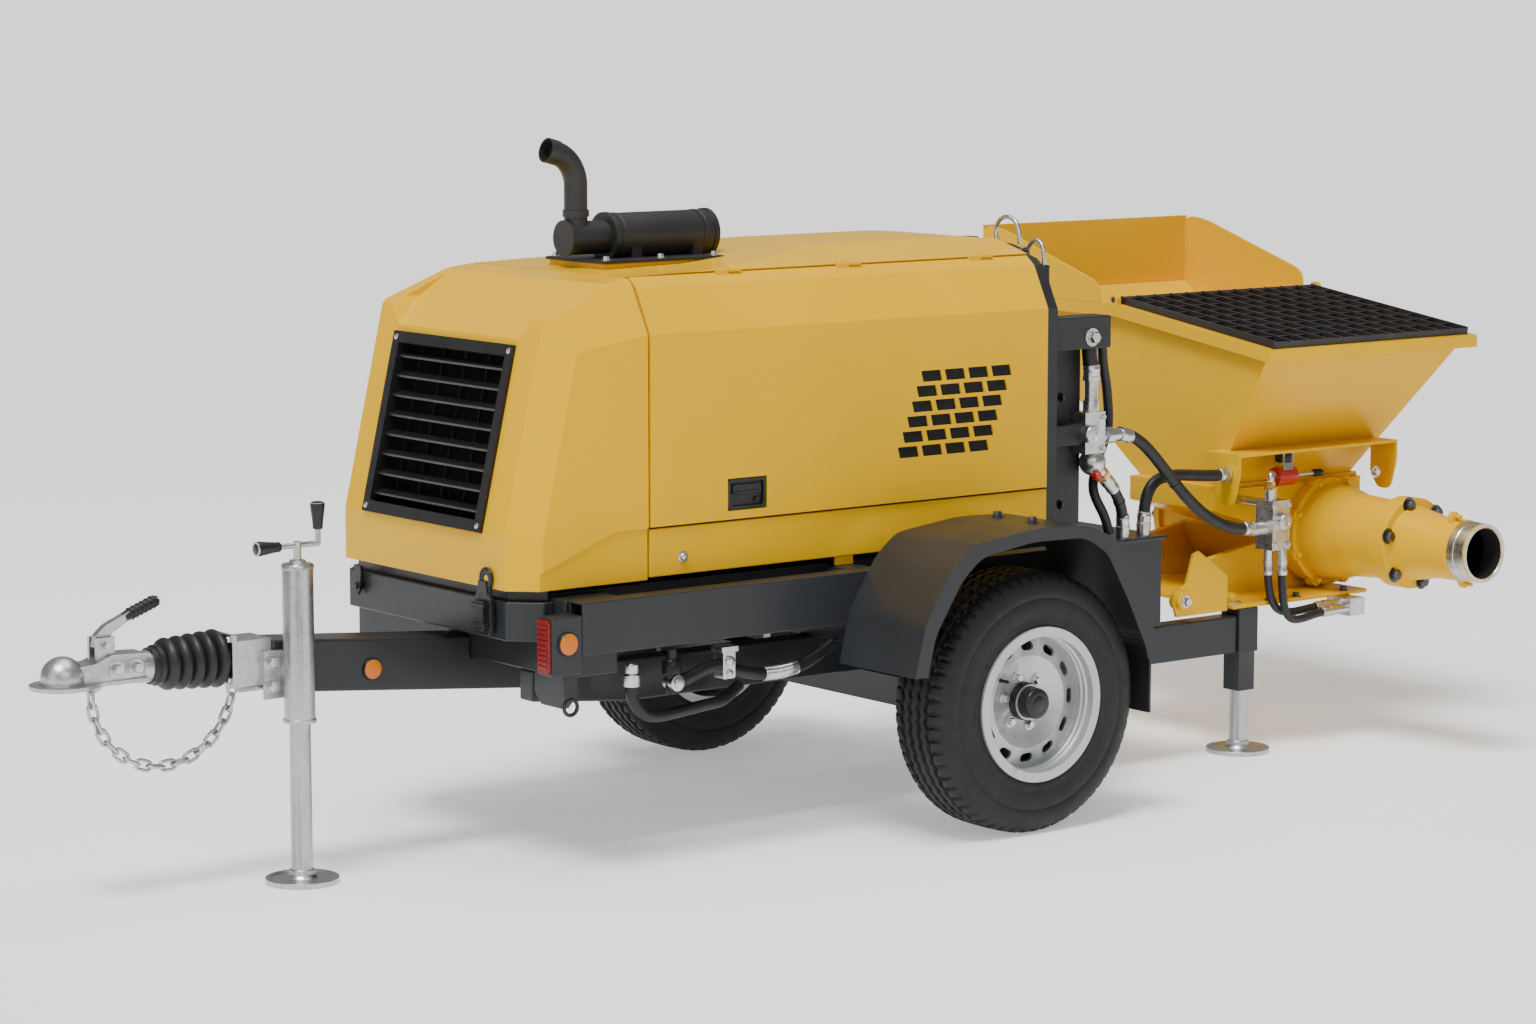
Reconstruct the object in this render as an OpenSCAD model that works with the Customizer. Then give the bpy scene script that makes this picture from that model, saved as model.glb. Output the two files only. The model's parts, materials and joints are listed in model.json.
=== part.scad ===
// Towed concrete pump on one axle: engine hood in front, hopper and crosswise pump behind.
// Millimetres. X points to the coupling, Y to the left side, Z up.
// Stations along X are measured from the axle; at_axle() moves them into the part's frame,
// whose origin lies on the ground under the middle of the whole length.

/* [Stance] */
// Outer diameter of the tyres
tyre_d = 700; // [680:2:716]
// Section width of the tyres
tyre_w = 214; // [196:2:220]
// Gap between the side beams and the tyres
wheel_gap = 63; // [56:1:80]
// Reach from the axle forward to the nose of the coupling
front_reach = 2514; // [2494:2:2540]

/* [Hood] */
// Width of the engine hood
hood_w = 890; // [860:2:900]
// Height of the straight edge where the doors meet the roof
roof_edge_z = 1500; // [1480:2:1520]
// Station where the nose of the hood meets the doors
nose_x = 1000; // [980:2:1020]
// Sheet and lining thickness of the hood panels
panel_t = 24; // [18:1:28]

/* [Hopper] */
// Length of the hopper's rim along X
hopper_len = 830; // [800:2:850]
// Width of the hopper on the left of the middle plane
hopper_near = 400; // [390:2:420]
// Height of the hopper's rim at its low left edge
hopper_rim_z = 1190; // [1170:2:1210]
// Plate thickness of the hopper
hopper_t = 8; // [6:1:12]

/* [Pump] */
// Diameter of the pump housing
pump_d = 320; // [300:2:330]
// Outer diameter of the delivery outlet
outlet_d = 172; // [160:2:180]

/* [Supports] */
// Diameter of the feet of the jack and of the rear legs
foot_d = 186; // [160:2:200]
// Diameter of the sliding tubes in the jack and in the rear legs
slide_d = 54; // [50:1:56]

/* [Hidden] */
$fn = 48;

yellow = "gold";
anthracite = "dimgray";
black = "black";
zinc = "silver";

// Fit between a sliding tube or a hub and what holds it
running_fit = 0.6;
// Gap around the doors
door_gap = 6;

// Where the hopper's rim starts behind the axle and where the machine ends
hopper_x = -1250;
rim_lip = 20;
rear_reach = -hopper_x + hopper_len + rim_lip;
axle_x = (rear_reach - front_reach) / 2;

// Wheels and axle
tyre_r = tyre_d / 2;
axle_z = tyre_r;
rim_r = 190;
rim_flange_r = 207;
stub_r = 20;
hub_r = 48;
axle_tube_x = 170;
axle_tube = 80;
arm_w = 32;
arm_gap = 23;
guard_over = 35;
guard_gap = 70;

// Upper frame
beam_gap = 43;
beam_w = 60;
hood_y = hood_w / 2;
beam_y0 = hood_y + beam_gap;
beam_y1 = beam_y0 + beam_w;
wheel_y = beam_y1 + wheel_gap + tyre_w / 2;
arm_y1 = wheel_y - tyre_w / 2 - arm_gap;
arm_y0 = arm_y1 - arm_w;
// Half width of the whole machine, at the mudguards and at the outlet
half_w = wheel_y + tyre_w / 2 + guard_over;
beam_z0 = 574;
beam_z1 = 708;
beam_x0 = -440;
beam_x1 = 1280;
// The right beam and its lamp box end this much sooner, out of sight behind the crossbar
far_back = 140;
cross_x = [1210, 350, -400];
cross_w = [160, 80, 80];
cross_z0 = 510;

// Lower rails, cranked down behind the axle
rail_y0 = 280;
rail_y1 = 340;
rail_h = 110;
rail_z = 400;
rail_drop = 100;
rail_x1 = 1290;
rail_bend = -420;
rail_x0 = -1192;

// Front of the hood, and the drawbar and hitch before it
nose_front = 1397;
draw_x = front_reach - 634;
draw_half = 60;
plate_t = 8;
draw_z0 = 480;
draw_z1 = 612;
hitch_z = 573;
ball_x = front_reach - 81;
housing_x1 = draw_x + 115;
bellows_x1 = housing_x1 + 205;

// Safety chain between the coupling and the overrun housing
ball_r = 26;
lug_t = 6;
lug_r = 15;
eye_r = 9;
link_wire = 4.5;
link_bend = 12;
chain_links = 17;
chain_mid = [ball_x - 273, hitch_z - 57];
chain_r = 198;
chain_a0 = 2;
chain_step = 10;
link_in = 2 * chain_r * sin(chain_step / 2) + 0.6;

// Jack and rear legs
jack_x = max(draw_x - 46, nose_front + 90);
jack_r = 39;
jack_y = draw_half + plate_t + jack_r + 1;
jack_z0 = 407;
jack_z1 = 795;
leg_x = -1230;
leg_y = 310;
sleeve = 76;
sleeve_z0 = 300;
saddle_t = 12;
saddle_gap = 8;
collar = 64;
collar_z0 = 186;

// Hood
hood_z0 = 734;
nose_z0 = 728;
chamfer_run = 95;
chamfer_rise = 145;
crease_z = roof_edge_z - chamfer_rise;
roof_edge_y = hood_y - chamfer_run;
crown_z = roof_edge_z + 56;
hood_rear = -356;
nose_kink_z = 862;
nose_lean = 13;
nose_corner = 70;
plinth_h = 28;
plinth_in = 22;
chamfer_len = norm([chamfer_run, chamfer_rise]);
chamfer_dir = [-chamfer_run / chamfer_len, chamfer_rise / chamfer_len];
chamfer_in = [-chamfer_dir[1], chamfer_dir[0]];
hinge_r = 6;
hinge_x = [-220, 240, 640];
hinge = [roof_edge_y, roof_edge_z] - door_gap / 2 * chamfer_dir - hinge_r * chamfer_in;
crease_in = panel_t * tan(atan(chamfer_run / chamfer_rise) / 2);
skirt_z = 860;
skirt_in = 6;
skirt_run = 106;
skirt_fall = 0.39;
sill_gap = 3;
fold = [roof_edge_y + 36, roof_edge_z - 30];
facet_tilt = [0, 61, 85];
scoop_half = 275;
latch_y = 305;
bulkhead_t = 44;
engine_x = 60;
engine_len = 800;
engine_half = 260;
engine_h = 582;
grille_w = 556;
grille_h = 480;
grille_z = 1098;

// Hopper
hopper_x0 = hopper_x - hopper_len;
hopper_far = 830;
hopper_bend = -250;
hopper_high = hopper_rim_z + 90;
hopper_low_z = 760;
mouth_y = [-125, 178];
mouth_x = [hopper_x - 550, hopper_x];
rim_h = 36;
guard_z = 1490;
guard_t = 6;
grate_t = 22;
pin_r = 9;

// Tank and valves
tank_x = rail_bend - 132;
tank_len = 328;
tank_half = 348;
tank_z1 = 675;
valve_x = -590;
valve_y = hood_y - 85;
valve_z = 990;
side_port = 12;
hose_z = 1230;
hose_r = 17;
port_z = 665;
valve_low_x = leg_x - 75;
valve_low_y = 365;
small_x = -1430;
port_x = -1590;
ports = [[362, 412], [390, 400]];
port_len = 60;
tank_fit = [-752, 320];
frame_z = 880;
frame_y = 340;
frame_x = [hopper_x - 600, hopper_x + 60];

// Pump
pump_r = pump_d / 2;
pump_x = hopper_x - 415;
pump_z = hopper_low_z - 150;
pump_y0 = -330;
sleeve_z1 = pump_z - pump_r - saddle_gap - saddle_t;
cone_y0 = 220;
ring_t = 26;
cone_y1 = 560;
bosses = 8;
outlet_y = half_w;

module at_axle() translate([axle_x, 0, 0]) children();

module both_sides() {
    children();
    mirror([0, 1, 0]) children();
}

// Box between two corners
module slab(a, b) translate(a) cube([b[0] - a[0], b[1] - a[1], b[2] - a[2]]);

// Outline in X and Z, thick from y0 to y1
module xz_plate(y0, y1) translate([0, y1, 0]) rotate([90, 0, 0]) linear_extrude(y1 - y0) children();

// Outline in Y and Z, thick from x0 to x1
module yz_plate(x0, x1) translate([x0, 0, 0]) rotate([90, 0, 90]) linear_extrude(x1 - x0) children();

module rod_x(x0, x1, y, z, r) translate([x0, y, z]) rotate([0, 90, 0]) cylinder(r = r, h = x1 - x0);

module rod_y(y0, y1, x, z, r) translate([x, y0, z]) rotate([-90, 0, 0]) cylinder(r = r, h = y1 - y0);

module rod_z(z0, z1, x, y, r) translate([x, y, z0]) cylinder(r = r, h = z1 - z0);

// Open outline whose inner corners are replaced by short curves that start at the distance cut
function eased(pts, cut, n = 4) = [
    for (i = [0 : len(pts) - 1])
        let (p = pts[i], inner = i > 0 && i < len(pts) - 1)
            for (k = [0 : inner ? n : 0])
                let (t = k / n)
                    inner
                        ? p + cut * (1 - t) * (1 - t) * toward(p, pts[i - 1])
                            + cut * t * t * toward(p, pts[i + 1])
                        : p
];

function toward(a, b) = (b - a) / norm(b - a);

// Point and direction on a curve with two handles
function bend(q, t) =
    let (u = 1 - t)
        u * u * u * q[0] + 3 * u * u * t * q[1] + 3 * u * t * t * q[2] + t * t * t * q[3];

function bend_dir(q, t) =
    let (u = 1 - t, v = u * u * (q[1] - q[0]) + 2 * u * t * (q[2] - q[1]) + t * t * (q[3] - q[2]))
        v / norm(v);

// Hose along such a curve
module hose(q, r) {
    steps = 12;
    round = 10;
    ring = [
        for (i = [0 : steps])
            let (p = bend(q, i / steps), d = bend_dir(q, i / steps))
                let (s = toward([0, 0, 0], cross(d, [0, 1, 0])), w = cross(s, d))
                    for (k = [0 : round - 1])
                        p + r * (cos(360 * k / round) * s + sin(360 * k / round) * w)
    ];
    skin = [
        for (i = [0 : steps - 1])
            for (k = [0 : round - 1])
                let (m = (k + 1) % round)
                    for (f = [[k, m, round + k], [m, round + m, round + k]])
                        [for (v = f) i * round + v]
    ];
    first = [for (k = [round - 1 : -1 : 0]) k];
    last = [for (k = [0 : round - 1]) steps * round + k];
    polyhedron(ring, concat(skin, [first, last]));
}

// Upper and lower frame

module side_beams()
    color(anthracite) at_axle() {
        side_beam(beam_x1);
        mirror([0, 1, 0]) side_beam(beam_x1 - far_back);
    }

module side_beam(end)
    difference() {
        slab([beam_x0, beam_y0, beam_z0], [end, beam_y1, beam_z1]);
        slab([end - 60, beam_y0 + 6, beam_z0 + 6], [end + 1, beam_y1 - 6, beam_z1 - 6]);
    }

// Box with cut corners under the nose and a set-back plinth that carries the nose
module front_crossbar()
    color(anthracite) at_axle() {
        crossbar_part(beam_z0 + 26, nose_z0 - plinth_h, 0);
        crossbar_part(nose_z0 - plinth_h, nose_z0, plinth_in);
    }

module crossbar_part(z0, z1, i) {
    front = nose_front - 7 - i;
    back = cross_x[0] + cross_w[0] / 2;
    side = hood_y - 5 - i;
    translate([0, 0, z0])
        linear_extrude(z1 - z0)
            polygon([
                [back, -side], [front - nose_corner, -side], [front, -side + nose_corner],
                [front, side - nose_corner], [front - nose_corner, side], [back, side]
            ]);
}

module crossmembers() {
    front = cross_x[0] + cross_w[0] / 2;
    color(anthracite) at_axle() {
        for (i = [0 : 2])
            slab(
                [cross_x[i] - cross_w[i] / 2, -beam_y0, cross_z0],
                [cross_x[i] + cross_w[i] / 2, beam_y0, beam_z1]
            );
        both_sides()
            yz_plate(front - 24, front)
                polygon([
                    [rail_y1 + 6, cross_z0], [rail_y1 + 6, rail_z + 60], [rail_y1 + 36, rail_z + 30],
                    [beam_y0 - 20, rail_z + 30], [beam_y0, rail_z + 50], [beam_y0, cross_z0]
                ]);
    }
}

module rails()
    color(anthracite) at_axle() both_sides()
        xz_plate(rail_y0, rail_y1)
            polygon([
                [rail_x1, rail_z + 30], [rail_x1, rail_z + rail_h],
                [rail_bend, rail_z + rail_h], [rail_bend - 120, rail_z + rail_h - rail_drop],
                [rail_x0, rail_z + rail_h - rail_drop], [rail_x0, rail_z - rail_drop],
                [rail_bend - 120, rail_z - rail_drop], [rail_bend, rail_z],
                [rail_x1 - 300, rail_z]
            ]);

module drawbar() {
    back = cross_x[0] - cross_w[0] / 2 - 80;
    step = cross_x[0] + cross_w[0] / 2;
    color(anthracite) at_axle()
        xz_plate(-draw_half, draw_half)
            polygon([
                [draw_x, draw_z0], [draw_x, draw_z1], [step, draw_z1 - 48],
                [step, cross_z0], [back, cross_z0], [back, draw_z0 - 78]
            ]);
}

module axle_beam()
    color(anthracite) at_axle() {
        slab(
            [axle_tube_x - axle_tube / 2, -arm_y1, rail_z - axle_tube],
            [axle_tube_x + axle_tube / 2, arm_y1, rail_z]
        );
        both_sides() {
            slab([-38, arm_y0, axle_z - 38], [axle_tube_x + axle_tube / 2, arm_y1, rail_z]);
            rod_y(arm_y0, wheel_y + 30, 0, axle_z, stub_r);
        }
    }

// Arched sheet over a wheel, with a turned-down outer lip

function arch(r) = [
    [r + 42, axle_z + 122], [r + 8, axle_z + 262], [r - 82, axle_z + 398], [r - 150, axle_z + 452],
    [60, axle_z + 476], [-120, axle_z + 472], [-r + 190, axle_z + 428], [-r + 110, axle_z + 290],
    [-r + 36, axle_z + 140], [-r + 36, axle_z + 90]
];

module arch_shape(inset) {
    outer = arch(tyre_r + guard_gap - inset);
    polygon(concat(eased(outer, 30), [[outer[9][0], 0], [outer[0][0], 0]]));
}

module mudguard() {
    floor_z = arch(0)[9][1];
    lip = 34;
    difference() {
        xz_plate(beam_y1, half_w) arch_shape(0);
        translate([0, 0, -6]) xz_plate(beam_y1 - 1, half_w - 6) arch_shape(6);
        translate([0, 0, -lip]) xz_plate(half_w - 10, half_w + 1) arch_shape(lip);
        slab([-1000, 0, -1], [0, 1000, floor_z]);
        slab([0, 0, -1], [1000, 1000, arch(0)[0][1]]);
    }
}

module mudguard_left() color(anthracite) at_axle() mudguard();

module mudguard_right() color(anthracite) at_axle() mirror([0, 1, 0]) mudguard();

module mudflaps() {
    back = arch(tyre_r + guard_gap)[9][0];
    color(black) at_axle() both_sides()
        slab([back - 8, wheel_y - 95, 285], [back, wheel_y + 110, arch(0)[8][1]]);
}

// Hitch

module overrun_housing() {
    eye = chain_end(1);
    color(zinc) at_axle() {
        slab([draw_x, -52, draw_z0 + 22], [housing_x1 - 10, 52, draw_z1 + 6]);
        slab([housing_x1 - 12, -60, hitch_z - 62], [housing_x1, 60, hitch_z + 62]);
        both_sides() {
            slab([draw_x - 78, draw_half, draw_z0 - 14], [draw_x + 30, draw_half + plate_t, draw_z1 - 24]);
            slab([draw_x, 50, draw_z0 + 22], [draw_x + 30, draw_half + 1, draw_z1 - 24]);
        }
        difference() {
            xz_plate(-lug_t / 2, lug_t / 2)
                polygon([
                    [housing_x1 - 12, draw_z0 + 24], [eye[0] + lug_r, eye[1]], [eye[0], eye[1] - lug_r],
                    [eye[0] - lug_r, eye[1]], [draw_x, draw_z0 + 10], [draw_x, draw_z0 + 24]
                ]);
            chain_eye(1);
        }
    }
}

module bellows() {
    folds = 5;
    neck = 36;
    pitch = (bellows_x1 - housing_x1 - neck) / folds;
    color(black) at_axle()
        translate([housing_x1, 0, hitch_z])
            rotate([0, 90, 0])
                rotate_extrude() {
                    square([46, bellows_x1 - housing_x1]);
                    for (i = [0 : folds - 1])
                        translate([0, pitch * (i + 0.5)]) {
                            translate([60 - 2 * i, 0]) circle(r = pitch * 0.42);
                            translate([0, -pitch * 0.42]) square([60 - 2 * i, pitch * 0.84]);
                        }
                }
}

// Pressed coupling: lip, dome over the ball and a channel that runs back into the bellows
module coupling_head() {
    lip_z = hitch_z - 30;
    body_half = 42;
    eye = chain_end(0);
    color(zinc) at_axle()
        difference() {
            union() {
                rod_x(bellows_x1, bellows_x1 + 30, 0, hitch_z, 40);
                xz_plate(-body_half + 6, body_half - 6)
                    polygon([
                        [bellows_x1 + 20, lip_z], [bellows_x1 + 20, hitch_z + 40],
                        [ball_x - 118, hitch_z + 44], [ball_x - 72, hitch_z + 26],
                        [ball_x, hitch_z + 20], [ball_x, lip_z]
                    ]);
                translate([ball_x, 0, hitch_z - 6]) sphere(r = 54);
                translate([0, 0, lip_z])
                    linear_extrude(10) {
                        translate([ball_x, 0]) circle(r = front_reach - ball_x);
                        polygon([
                            [ball_x + 20, 72], [ball_x - 100, body_half], [bellows_x1 + 20, body_half],
                            [bellows_x1 + 20, -body_half], [ball_x - 100, -body_half], [ball_x + 20, -72]
                        ]);
                    }
                both_sides()
                    slab([ball_x - 132, 14, hitch_z + 30], [ball_x - 82, 24, hitch_z + 86]);
                xz_plate(-lug_t / 2, lug_t / 2)
                    polygon([
                        [eye[0] - 40, lip_z + 4], [eye[0] - 26, eye[1] - 4], [eye[0], eye[1] - lug_r],
                        [eye[0] + lug_r, eye[1]], [eye[0] + lug_r, lip_z + 4]
                    ]);
            }
            translate([ball_x, 0, hitch_z - 8]) sphere(r = ball_r);
            rod_z(hitch_z - 120, hitch_z - 8, ball_x, 0, ball_r);
            slab([ball_x - 50, -100, hitch_z - 120], [ball_x + 100, 100, lip_z]);
            chain_eye(0);
        }
}

// Bent lever between the two ears of the coupling
module coupling_handle() {
    x = ball_x - 107;
    base = hitch_z + 66;
    color(zinc) at_axle() {
        rod_y(-14, 14, x, base, 9);
        xz_plate(-11, 11)
            polygon([
                [x + 4, base - 14], [x + 24, base - 4], [x + 20, base + 24], [x - 8, base + 48],
                [x - 64, base + 72], [x - 152, base + 104], [x - 160, base + 98], [x - 158, base + 84],
                [x - 66, base + 50], [x - 26, base + 28], [x - 14, base]
            ]);
    }
}

// Safety chain: links that hang in each other along an arc from the coupling to the housing

function arc_at(angle) = chain_mid + chain_r * [cos(angle), sin(angle)];

function joint_angle(k) = chain_a0 - k * chain_step;

// Middle of the eye that holds the first (0) or the last (1) link
function chain_end(last) =
    let (a = joint_angle(last * chain_links))
        arc_at(a) + (last == 0 ? 1 : -1) * (eye_r - 0.3) * [-sin(a), cos(a)];

module chain_eye(last)
    rod_y(-lug_t, lug_t, chain_end(last)[0], chain_end(last)[1], eye_r);

// One link, lying in the XY plane with its long side along X
module link() {
    arc = 4;
    wire = 6;
    straight = link_in / 2 + link_wire - link_bend;
    loop = [
        for (side = [0, 1])
            for (i = [0 : arc])
                let (a = -90 + 180 * i / arc + 180 * side)
                    [(side == 0 ? 1 : -1) * straight + link_bend * cos(a), link_bend * sin(a), a]
    ];
    n = len(loop);
    ring = [
        for (p = loop)
            for (k = [0 : wire - 1])
                let (w = 360 * k / wire, out = link_wire * cos(w))
                    [p[0] + out * cos(p[2]), p[1] + out * sin(p[2]), link_wire * sin(w)]
    ];
    skin = [
        for (i = [0 : n - 1])
            for (k = [0 : wire - 1])
                let (j = (i + 1) % n, m = (k + 1) % wire)
                    [i * wire + k, i * wire + m, j * wire + m, j * wire + k]
    ];
    polyhedron(ring, skin);
}

module safety_chain()
    color(zinc) at_axle()
        for (k = [0 : chain_links - 1]) {
            a = arc_at(joint_angle(k));
            b = arc_at(joint_angle(k + 1));
            mid = (a + b) / 2;
            translate([mid[0], 0, mid[1]])
                rotate([0, -atan2(b[1] - a[1], b[0] - a[0]), 0])
                    rotate([k % 2 == 0 ? 0 : 90, 0, 0])
                        link();
        }

// Jack with its crank, and the rear legs

module jack_tube()
    color(zinc) at_axle() {
        difference() {
            union() {
                rod_z(jack_z0, jack_z1, jack_x, jack_y, jack_r);
                rod_z(jack_z0, jack_z0 + 10, jack_x, jack_y, jack_r + 3);
            }
            rod_z(jack_z0 - 1, jack_z1 - 14, jack_x, jack_y, slide_d / 2 + running_fit);
        }
        rod_z(jack_z1, jack_z1 + 22, jack_x, jack_y, 15);
        difference() {
            slab([jack_x - 30, draw_half + plate_t, draw_z0 + 6], [jack_x + 30, jack_y, draw_z1 - 30]);
            rod_z(jack_z0, jack_z1, jack_x, jack_y, jack_r - 2);
        }
    }

// Cranked bar on the jack's screw with a tapered grip at each end
module jack_crank() {
    bar_z = jack_z1 + 58;
    color(zinc) at_axle() {
        rod_z(jack_z1 + 22, bar_z + 10, jack_x, jack_y, 10);
        rod_x(jack_x - 60, jack_x + 60, jack_y, bar_z, 7);
        translate([jack_x - 60, jack_y, bar_z]) sphere(r = 7);
        rod_z(bar_z, bar_z + 50, jack_x - 60, jack_y, 7);
        translate([jack_x - 60, jack_y, bar_z + 40]) cylinder(r1 = 12, r2 = 18, h = 62);
        translate([jack_x + 52, jack_y, bar_z]) rotate([0, 90, 0]) cylinder(r1 = 12, r2 = 18, h = 66);
    }
}

// Tube on a dished round foot, standing on the ground
module foot_and_tube(top) {
    rotate_extrude()
        polygon([
            [0, 0], [foot_d / 2, 0], [foot_d / 2, 14], [foot_d / 2 - 10, 14],
            [foot_d / 2 - 18, 9], [slide_d / 2 + 12, 13], [slide_d / 2 + 5, 22],
            [slide_d / 2 + 5, 34], [slide_d / 2, 34], [slide_d / 2, top], [0, top]
        ]);
}

module jack_leg() color(zinc) at_axle() translate([jack_x, jack_y, 0]) foot_and_tube(jack_z0 + 66);

module leg_sleeves()
    color(anthracite) at_axle() both_sides()
        difference() {
            union() {
                slab(
                    [leg_x - sleeve / 2, leg_y - sleeve / 2, sleeve_z0],
                    [leg_x + sleeve / 2, leg_y + sleeve / 2, sleeve_z1]
                );
                slab(
                    [leg_x - collar / 2, leg_y - collar / 2, collar_z0],
                    [leg_x + collar / 2, leg_y + collar / 2, sleeve_z0]
                );
            }
            rod_z(collar_z0 - 1, sleeve_z1 - 6, leg_x, leg_y, slide_d / 2 + running_fit);
        }

module rear_leg() translate([leg_x, leg_y, 0]) foot_and_tube(sleeve_z0 - 30);

module rear_leg_left() color(zinc) at_axle() rear_leg();

module rear_leg_right() color(zinc) at_axle() mirror([0, 1, 0]) rear_leg();

// Wheels, turned about their own axis and then laid along Y

module on_wheel(side)
    translate([0, side * wheel_y, axle_z]) rotate([-90 * side, 0, 0]) children();

module tyre() {
    half = tyre_w / 2;
    rotate_extrude()
        polygon([
            [rim_r, -half + 12], [rim_flange_r + 6, -half + 8], [rim_r + 70, -half],
            [tyre_r - 40, -half + 4], [tyre_r - 9, -half + 22], [tyre_r, -half + 50],
            [tyre_r, half - 50], [tyre_r - 9, half - 22], [tyre_r - 40, half - 4],
            [rim_r + 70, half], [rim_flange_r + 6, half - 8], [rim_r, half - 12]
        ]);
}

module rim() {
    half = tyre_w / 2 - 12;
    difference() {
        union() {
            rotate_extrude()
                polygon([
                    [rim_r - 8, -half - 14], [rim_flange_r, -half - 14], [rim_flange_r, -half - 6],
                    [rim_r, -half], [rim_r, half], [rim_flange_r, half + 6],
                    [rim_flange_r, half + 14], [rim_r - 8, half + 14]
                ]);
            rotate_extrude()
                polygon([
                    [0, 24], [90, 24], [124, 48], [rim_r - 7, 30], [rim_r - 7, 38],
                    [124, 56], [86, 34], [0, 34]
                ]);
            translate([0, 0, -60]) cylinder(r = hub_r, h = 120);
            translate([0, 0, 60]) cylinder(r1 = hub_r - 10, r2 = hub_r - 16, h = 34);
        }
        translate([0, 0, -61]) cylinder(r = stub_r + running_fit, h = 61 + 36);
        for (i = [0 : 11])
            rotate([0, 0, 30 * i])
                translate([rim_r - 40, 0, 0]) {
                    for (s = [-1, 1])
                        translate([0, s * 9, 0]) cylinder(r = 12, h = 90);
                    translate([-12, -9, 0]) cube([24, 18, 90]);
                }
    }
}

module tyre_left() color(black) at_axle() on_wheel(1) tyre();

module rim_left() color(zinc) at_axle() on_wheel(1) rim();

module tyre_right() color(black) at_axle() on_wheel(-1) tyre();

module rim_right() color(zinc) at_axle() on_wheel(-1) rim();

// Hood

function hood_half(i) = [
    [hood_y - i, nose_z0], [hood_y - i, crease_z - i * 0.3], fold + i * chamfer_in,
    [roof_edge_y - i * 0.6, roof_edge_z - i], [roof_edge_y * 0.55, crown_z - 14 - i], [0, crown_z - i]
];

function mirrored(pts) = [for (k = [len(pts) - 1 : -1 : 0]) [-pts[k][0], pts[k][1]]];

module hood_section(i) polygon(concat(hood_half(i), mirrored(hood_half(i))));

// Nose as a solid, drawn in by i for its inner face
module nose_solid(i) {
    side = hood_y - i;
    front = nose_front - i;
    corner = nose_corner;
    plan = [
        [nose_x - 900, -side], [front - corner, -side], [front, -side + corner],
        [front, side - corner], [front - corner, side], [nose_x - 900, side]
    ];
    difference() {
        intersection() {
            yz_plate(nose_x - 2 * i / panel_t, nose_front + 100) hood_section(i);
            translate([0, 0, nose_z0 - 200]) linear_extrude(1200) polygon(plan);
            translate([front, 0, nose_kink_z])
                rotate([0, -nose_lean, 0])
                    translate([-front, 0, -400])
                        linear_extrude(1400) polygon(plan);
            xz_plate(-hood_y - 1, hood_y + 1)
                polygon([
                    [nose_x - 10, nose_z0 - 1], [nose_front + 100, nose_z0 - 1],
                    [nose_front + 100, crease_z + 45 - i], [nose_front - 128, crease_z + 45 - i],
                    [nose_x + 77, roof_edge_z - 18 - i], [nose_x - 10, roof_edge_z - 5 - i]
                ]);
        }
        both_sides()
            translate([nose_x, hood_y, crease_z])
                rotate(facet_tilt)
                    translate([-800, -800, -i]) cube([1600, 1600, 400]);
        translate([0, 0, -i]) nose_scoop();
    }
}

// Sloping field above the grille, sunk between the two front corners
module nose_scoop() {
    low = crease_z - 8;
    intersection() {
        xz_plate(-hood_y, hood_y)
            polygon([
                [nose_front - 108, low], [nose_x + 77, roof_edge_z - 18], [nose_front, roof_edge_z - 18]
            ]);
        yz_plate(nose_x, nose_front)
            polygon([
                [-scoop_half, low - 1], [scoop_half, low - 1], [scoop_half + 60, low + 70],
                [scoop_half + 60, roof_edge_z], [-scoop_half - 60, roof_edge_z], [-scoop_half - 60, low + 70]
            ]);
    }
}

// Places a shape on the leaning front face, with its middle at the grille's middle
module on_front()
    translate([nose_front, 0, nose_kink_z])
        rotate([0, -nose_lean, 0])
            translate([0, 0, (grille_z - nose_kink_z) / cos(nose_lean)])
                children();

module hood_nose()
    color(yellow) at_axle()
        difference() {
            nose_solid(0);
            difference() {
                nose_solid(panel_t);
                slab([nose_x - 10, -hood_y, nose_z0 - 2], [nose_front + 10, hood_y, nose_z0 + 10]);
            }
            on_front()
                cube([2 * panel_t + 60, grille_w - 40, grille_h - 40], center = true);
            both_sides()
                xz_plate(hood_y - skirt_in, hood_y + 1)
                    polygon([
                        [nose_x - 10, nose_z0 - 1], [nose_x - 10, skirt_z], [nose_x + skirt_run, skirt_z],
                        [nose_front + 10, skirt_z - skirt_fall * (nose_front + 10 - nose_x - skirt_run)],
                        [nose_front + 10, nose_z0 - 1]
                    ]);
        }

module front_grille() {
    louvres = 8;
    pitch = (grille_h - 64) / louvres;
    color(black) at_axle() on_front() {
        difference() {
            translate([0, -grille_w / 2, -grille_h / 2]) cube([10, grille_w, grille_h]);
            cube([60, grille_w - 60, grille_h - 60], center = true);
        }
        for (i = [0 : louvres - 1])
            translate([-12, 0, (i - (louvres - 1) / 2) * pitch])
                rotate([0, 28, 0])
                    cube([30, grille_w - 40, 6], center = true);
        for (s = [-1, 1])
            translate([-6, s * (grille_w / 2 - 25), 0])
                cube([32, 10, grille_h - 40.1], center = true);
    }
}

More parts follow.
